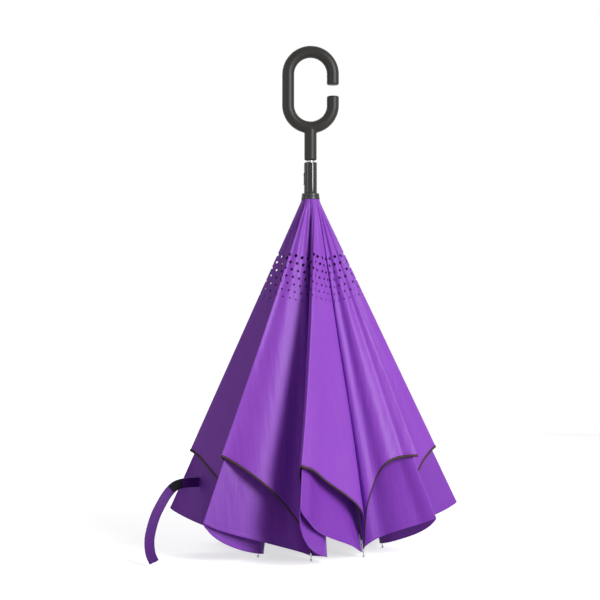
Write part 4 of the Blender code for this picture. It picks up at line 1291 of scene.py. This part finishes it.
def makeBand(name, rows, thickness, material, endRagged=0.0):
    points, places = [], []
    for row, line in enumerate(rows):
        for point, sideways, along, share in line:
            if row == len(rows) - 1:
                heading = (line[0][0] - rows[-2][0][0]).normalized()
                point = point + heading * (endRagged * noise.noise(Vector((share * 4.0, 0.3, 7.0))))
            points.append(point)
            places.append((sideways, along))
    width = len(rows[0])
    band = meshObject(name, points, backQuads(len(rows) - 1, width - 1, width), material)
    writeUv(band, "cloth", places)
    thicken(band, thickness, 60.0)
    return band


def edgeDistance(tree, across, half):
    return minus(tree, half, calc(tree, "ABSOLUTE", minus(tree, across, half)))


# Stitched cloth without vents: the band, or a round piece with its seam at a set reach
def makeTrimCloth(name, deep, bright, reach=None):
    paint, tree, shader = startMaterial(name)
    place = mapOf(tree, "cloth")
    sideways, along = splitVector(tree, place)[0:2]
    if reach is None:
        threads = useGroup(tree, weave, Vector=place, Pitch=satin["pitch"])
        tone = useGroup(tree, patches, Vector=objectPlace(tree), Scale=40.0, Contrast=1.6)
        fromEdge = edgeDistance(tree, sideways, strap["width"] / 2)
        seam = useGroup(tree, stitches, Along=along, Across=fromEdge, Line=0.0014, Pitch=0.0026, Width=0.0005)
    else:
        flatPlace = stretched(tree, objectPlace(tree), (1.0, 1.0, 0.0))
        threads = useGroup(tree, weave, Vector=flatPlace, Pitch=satin["pitch"])
        tone = useGroup(tree, patches, Vector=objectPlace(tree), Scale=14.0, Contrast=1.4)
        seam = useGroup(tree, stitches, Along=sideways, Across=along, Line=reach)
    share = calc(tree, "MULTIPLY_ADD", threads["Streaks"], 0.5, times(tree, tone[0], 0.5))
    colour = blendColours(tree, share, deep, bright)
    colour = blendColours(tree, times(tree, seam["Mask"], 0.6), colour, (0.055, 0.010, 0.130))
    if reach is None:
        border = spread(tree, fromEdge, 0.0, 0.0008, 0.45, 0.0)
        colour = blendColours(tree, border, colour, (0.065, 0.012, 0.150))
    feed(tree, colour, shader.inputs["Base Color"])
    satinFinish(tree, shader, tone, 0.2, 0.8)
    height = minus(tree, times(tree, threads["Height"], 0.3), seam["Pucker"])
    addBump(tree, shader, height, 0.6, 0.0003)
    return paint


# Hook tape: rows of tiny hooks between plain woven edges
def makeHookTape():
    paint, tree, shader = startMaterial("hook_tape_black")
    place = mapOf(tree, "cloth")
    hooks = useGroup(tree, weave, Vector=place, Pitch=0.0013)
    across, along = splitVector(tree, place)[0:2]
    fromEdge = edgeDistance(tree, across, patch["width"] / 2)
    field = spread(tree, fromEdge, 0.0012, 0.0016, 0.0, 1.0)
    lift = times(tree, hooks["Height"], field)
    feedAll(tree, shader, {
        "Base Color": blendColours(tree, lift, (0.002, 0.002, 0.002), (0.010, 0.010, 0.011)),
        "Roughness": spread(tree, hooks["Streaks"], 0.2, 0.8, 0.55, 0.80), "Specular IOR Level": 0.25})
    seam = useGroup(tree, stitches, Along=along, Across=fromEdge, Line=0.0008, Pitch=0.0024, Width=0.0004)
    addBump(tree, shader, minus(tree, lift, times(tree, seam["Pucker"], 0.4)), 0.9, 0.0006)
    return paint


# The strap's satin is darkened as painted shade
shadedStrapSatin = makeTrimCloth("strap_satin_painted_shade", strap["deep"], strap["bright"])
hookBlack = makeHookTape()
bandGrid, bandLength = bandRows(strap)
strapBand = makeBand("tie_strap", bandGrid, strap["thickness"], shadedStrapSatin, strap["endRagged"])
patchGrid = bandRows(patch)[0]
hookPiece = makeBand("hook_patch", patchGrid, patch["thickness"], hookBlack)
settle(strapBand, "strap_band", "strap")
settle(hookPiece, "strap_band", "strap_hook_patch")
print("strap made, %.0f mm long" % (bandLength * 1000))

# Rosette: a round cloth guard with a sewn rim and light gathers
rosette = {"top": 0.15603, "radius": 0.065, "flat": 0.013, "bore": 0.0058, "thickness": 0.0009, "sag": 0.0030,
           "gathers": 24, "ripple": 0.00025, "rings": 22, "around": 144}
guard = {"bottom": 0.17033, "top": 0.33, "innerBottom": 0.01452, "innerTop": 0.04397, "thickness": 0.0006,
         "ripple": 0.0005, "gathers": 16, "rings": 24, "around": 128, "keep": 0.03, "anchor": 0.158, "slant": 0.12}


def makeRound(name, sizes, place, material):
    rings, around = sizes["rings"], sizes["around"]
    points, places, faces = [], [], []
    for ring in range(rings + 1):
        for turn in range(around):
            point, metres = place(ring / rings, 2 * math.pi * turn / around)
            points.append(point)
            places.append(metres)
    for ring in range(rings):
        for turn in range(around):
            after = (turn + 1) % around
            here, below = ring * around, (ring + 1) * around
            faces.append((here + turn, below + turn, below + after, here + after))
    piece = meshObject(name, points, faces, material)
    writeUv(piece, "cloth", places)
    thicken(piece, sizes["thickness"], 60.0)
    return piece


def rosettePlace(share, angle):
    reach = rosette["bore"] + (rosette["radius"] - rosette["bore"]) * share
    slope = max(0.0, (reach - rosette["flat"]) / (rosette["radius"] - rosette["flat"]))
    drop = rosette["sag"] * slope
    ripple = rosette["ripple"] * slope * math.sin(rosette["gathers"] * angle)
    height = rosette["top"] - rosette["thickness"] / 2 - drop + ripple
    return Vector((reach * math.cos(angle), reach * math.sin(angle), height)), (angle * reach, reach)


def guardPlace(share, angle):
    height = guard["top"] + (guard["bottom"] - guard["top"]) * share
    inner = guard["innerTop"] + (guard["innerBottom"] - guard["innerTop"]) * share
    wave = 0.5 + 0.5 * math.cos(guard["gathers"] * angle)
    reach = inner + guard["thickness"] / 2 + guard["ripple"] * (1 - share) * wave
    slant = math.hypot(reach, height - guard["bottom"])
    return Vector((reach * math.cos(angle), reach * math.sin(angle), height)), (angle * reach, slant)


# The rosette and the centre cloth take the rain cloth's darker colours, painted shade included
rosetteSatin, guardSatin = (
    makeTrimCloth(name, satin["rainShadedDeep"], satin["rainShadedBright"], reach - satin["roundSeam"])
    for name, reach in (("rosette_satin", rosette["radius"]), ("centre_satin", guard["slant"])))
rosettePiece = makeRound("cloth_rosette", rosette, rosettePlace, rosetteSatin)
settle(rosettePiece, "shaft", "rosette")

guardPiece = makeRound("centre_cloth", guard, guardPlace, guardSatin)
settle(guardPiece, "shaft", "rain_centre")
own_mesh(guardPiece)
print("rosette and centre cloth made")

# The hinge work keeps its own shapes and takes fuller finishes
finishes = {"top_notch": blackNylon, "runner_crown": blackNylon, "crown_wire": brightSteel, "notch_wire": brightSteel,
            "latch_spring": brightSteel}
for index in range(umbrella["ribs"]):
    finishes["rib_%d" % (index + 1)] = coatedSteel
    finishes["spreader_%d" % (index + 1)] = coatedSteel
for name, paint in finishes.items():
    for socket in bpy.data.objects[name].material_slots:
        socket.material = paint
print("finishes set on", len(finishes), "hinge parts")
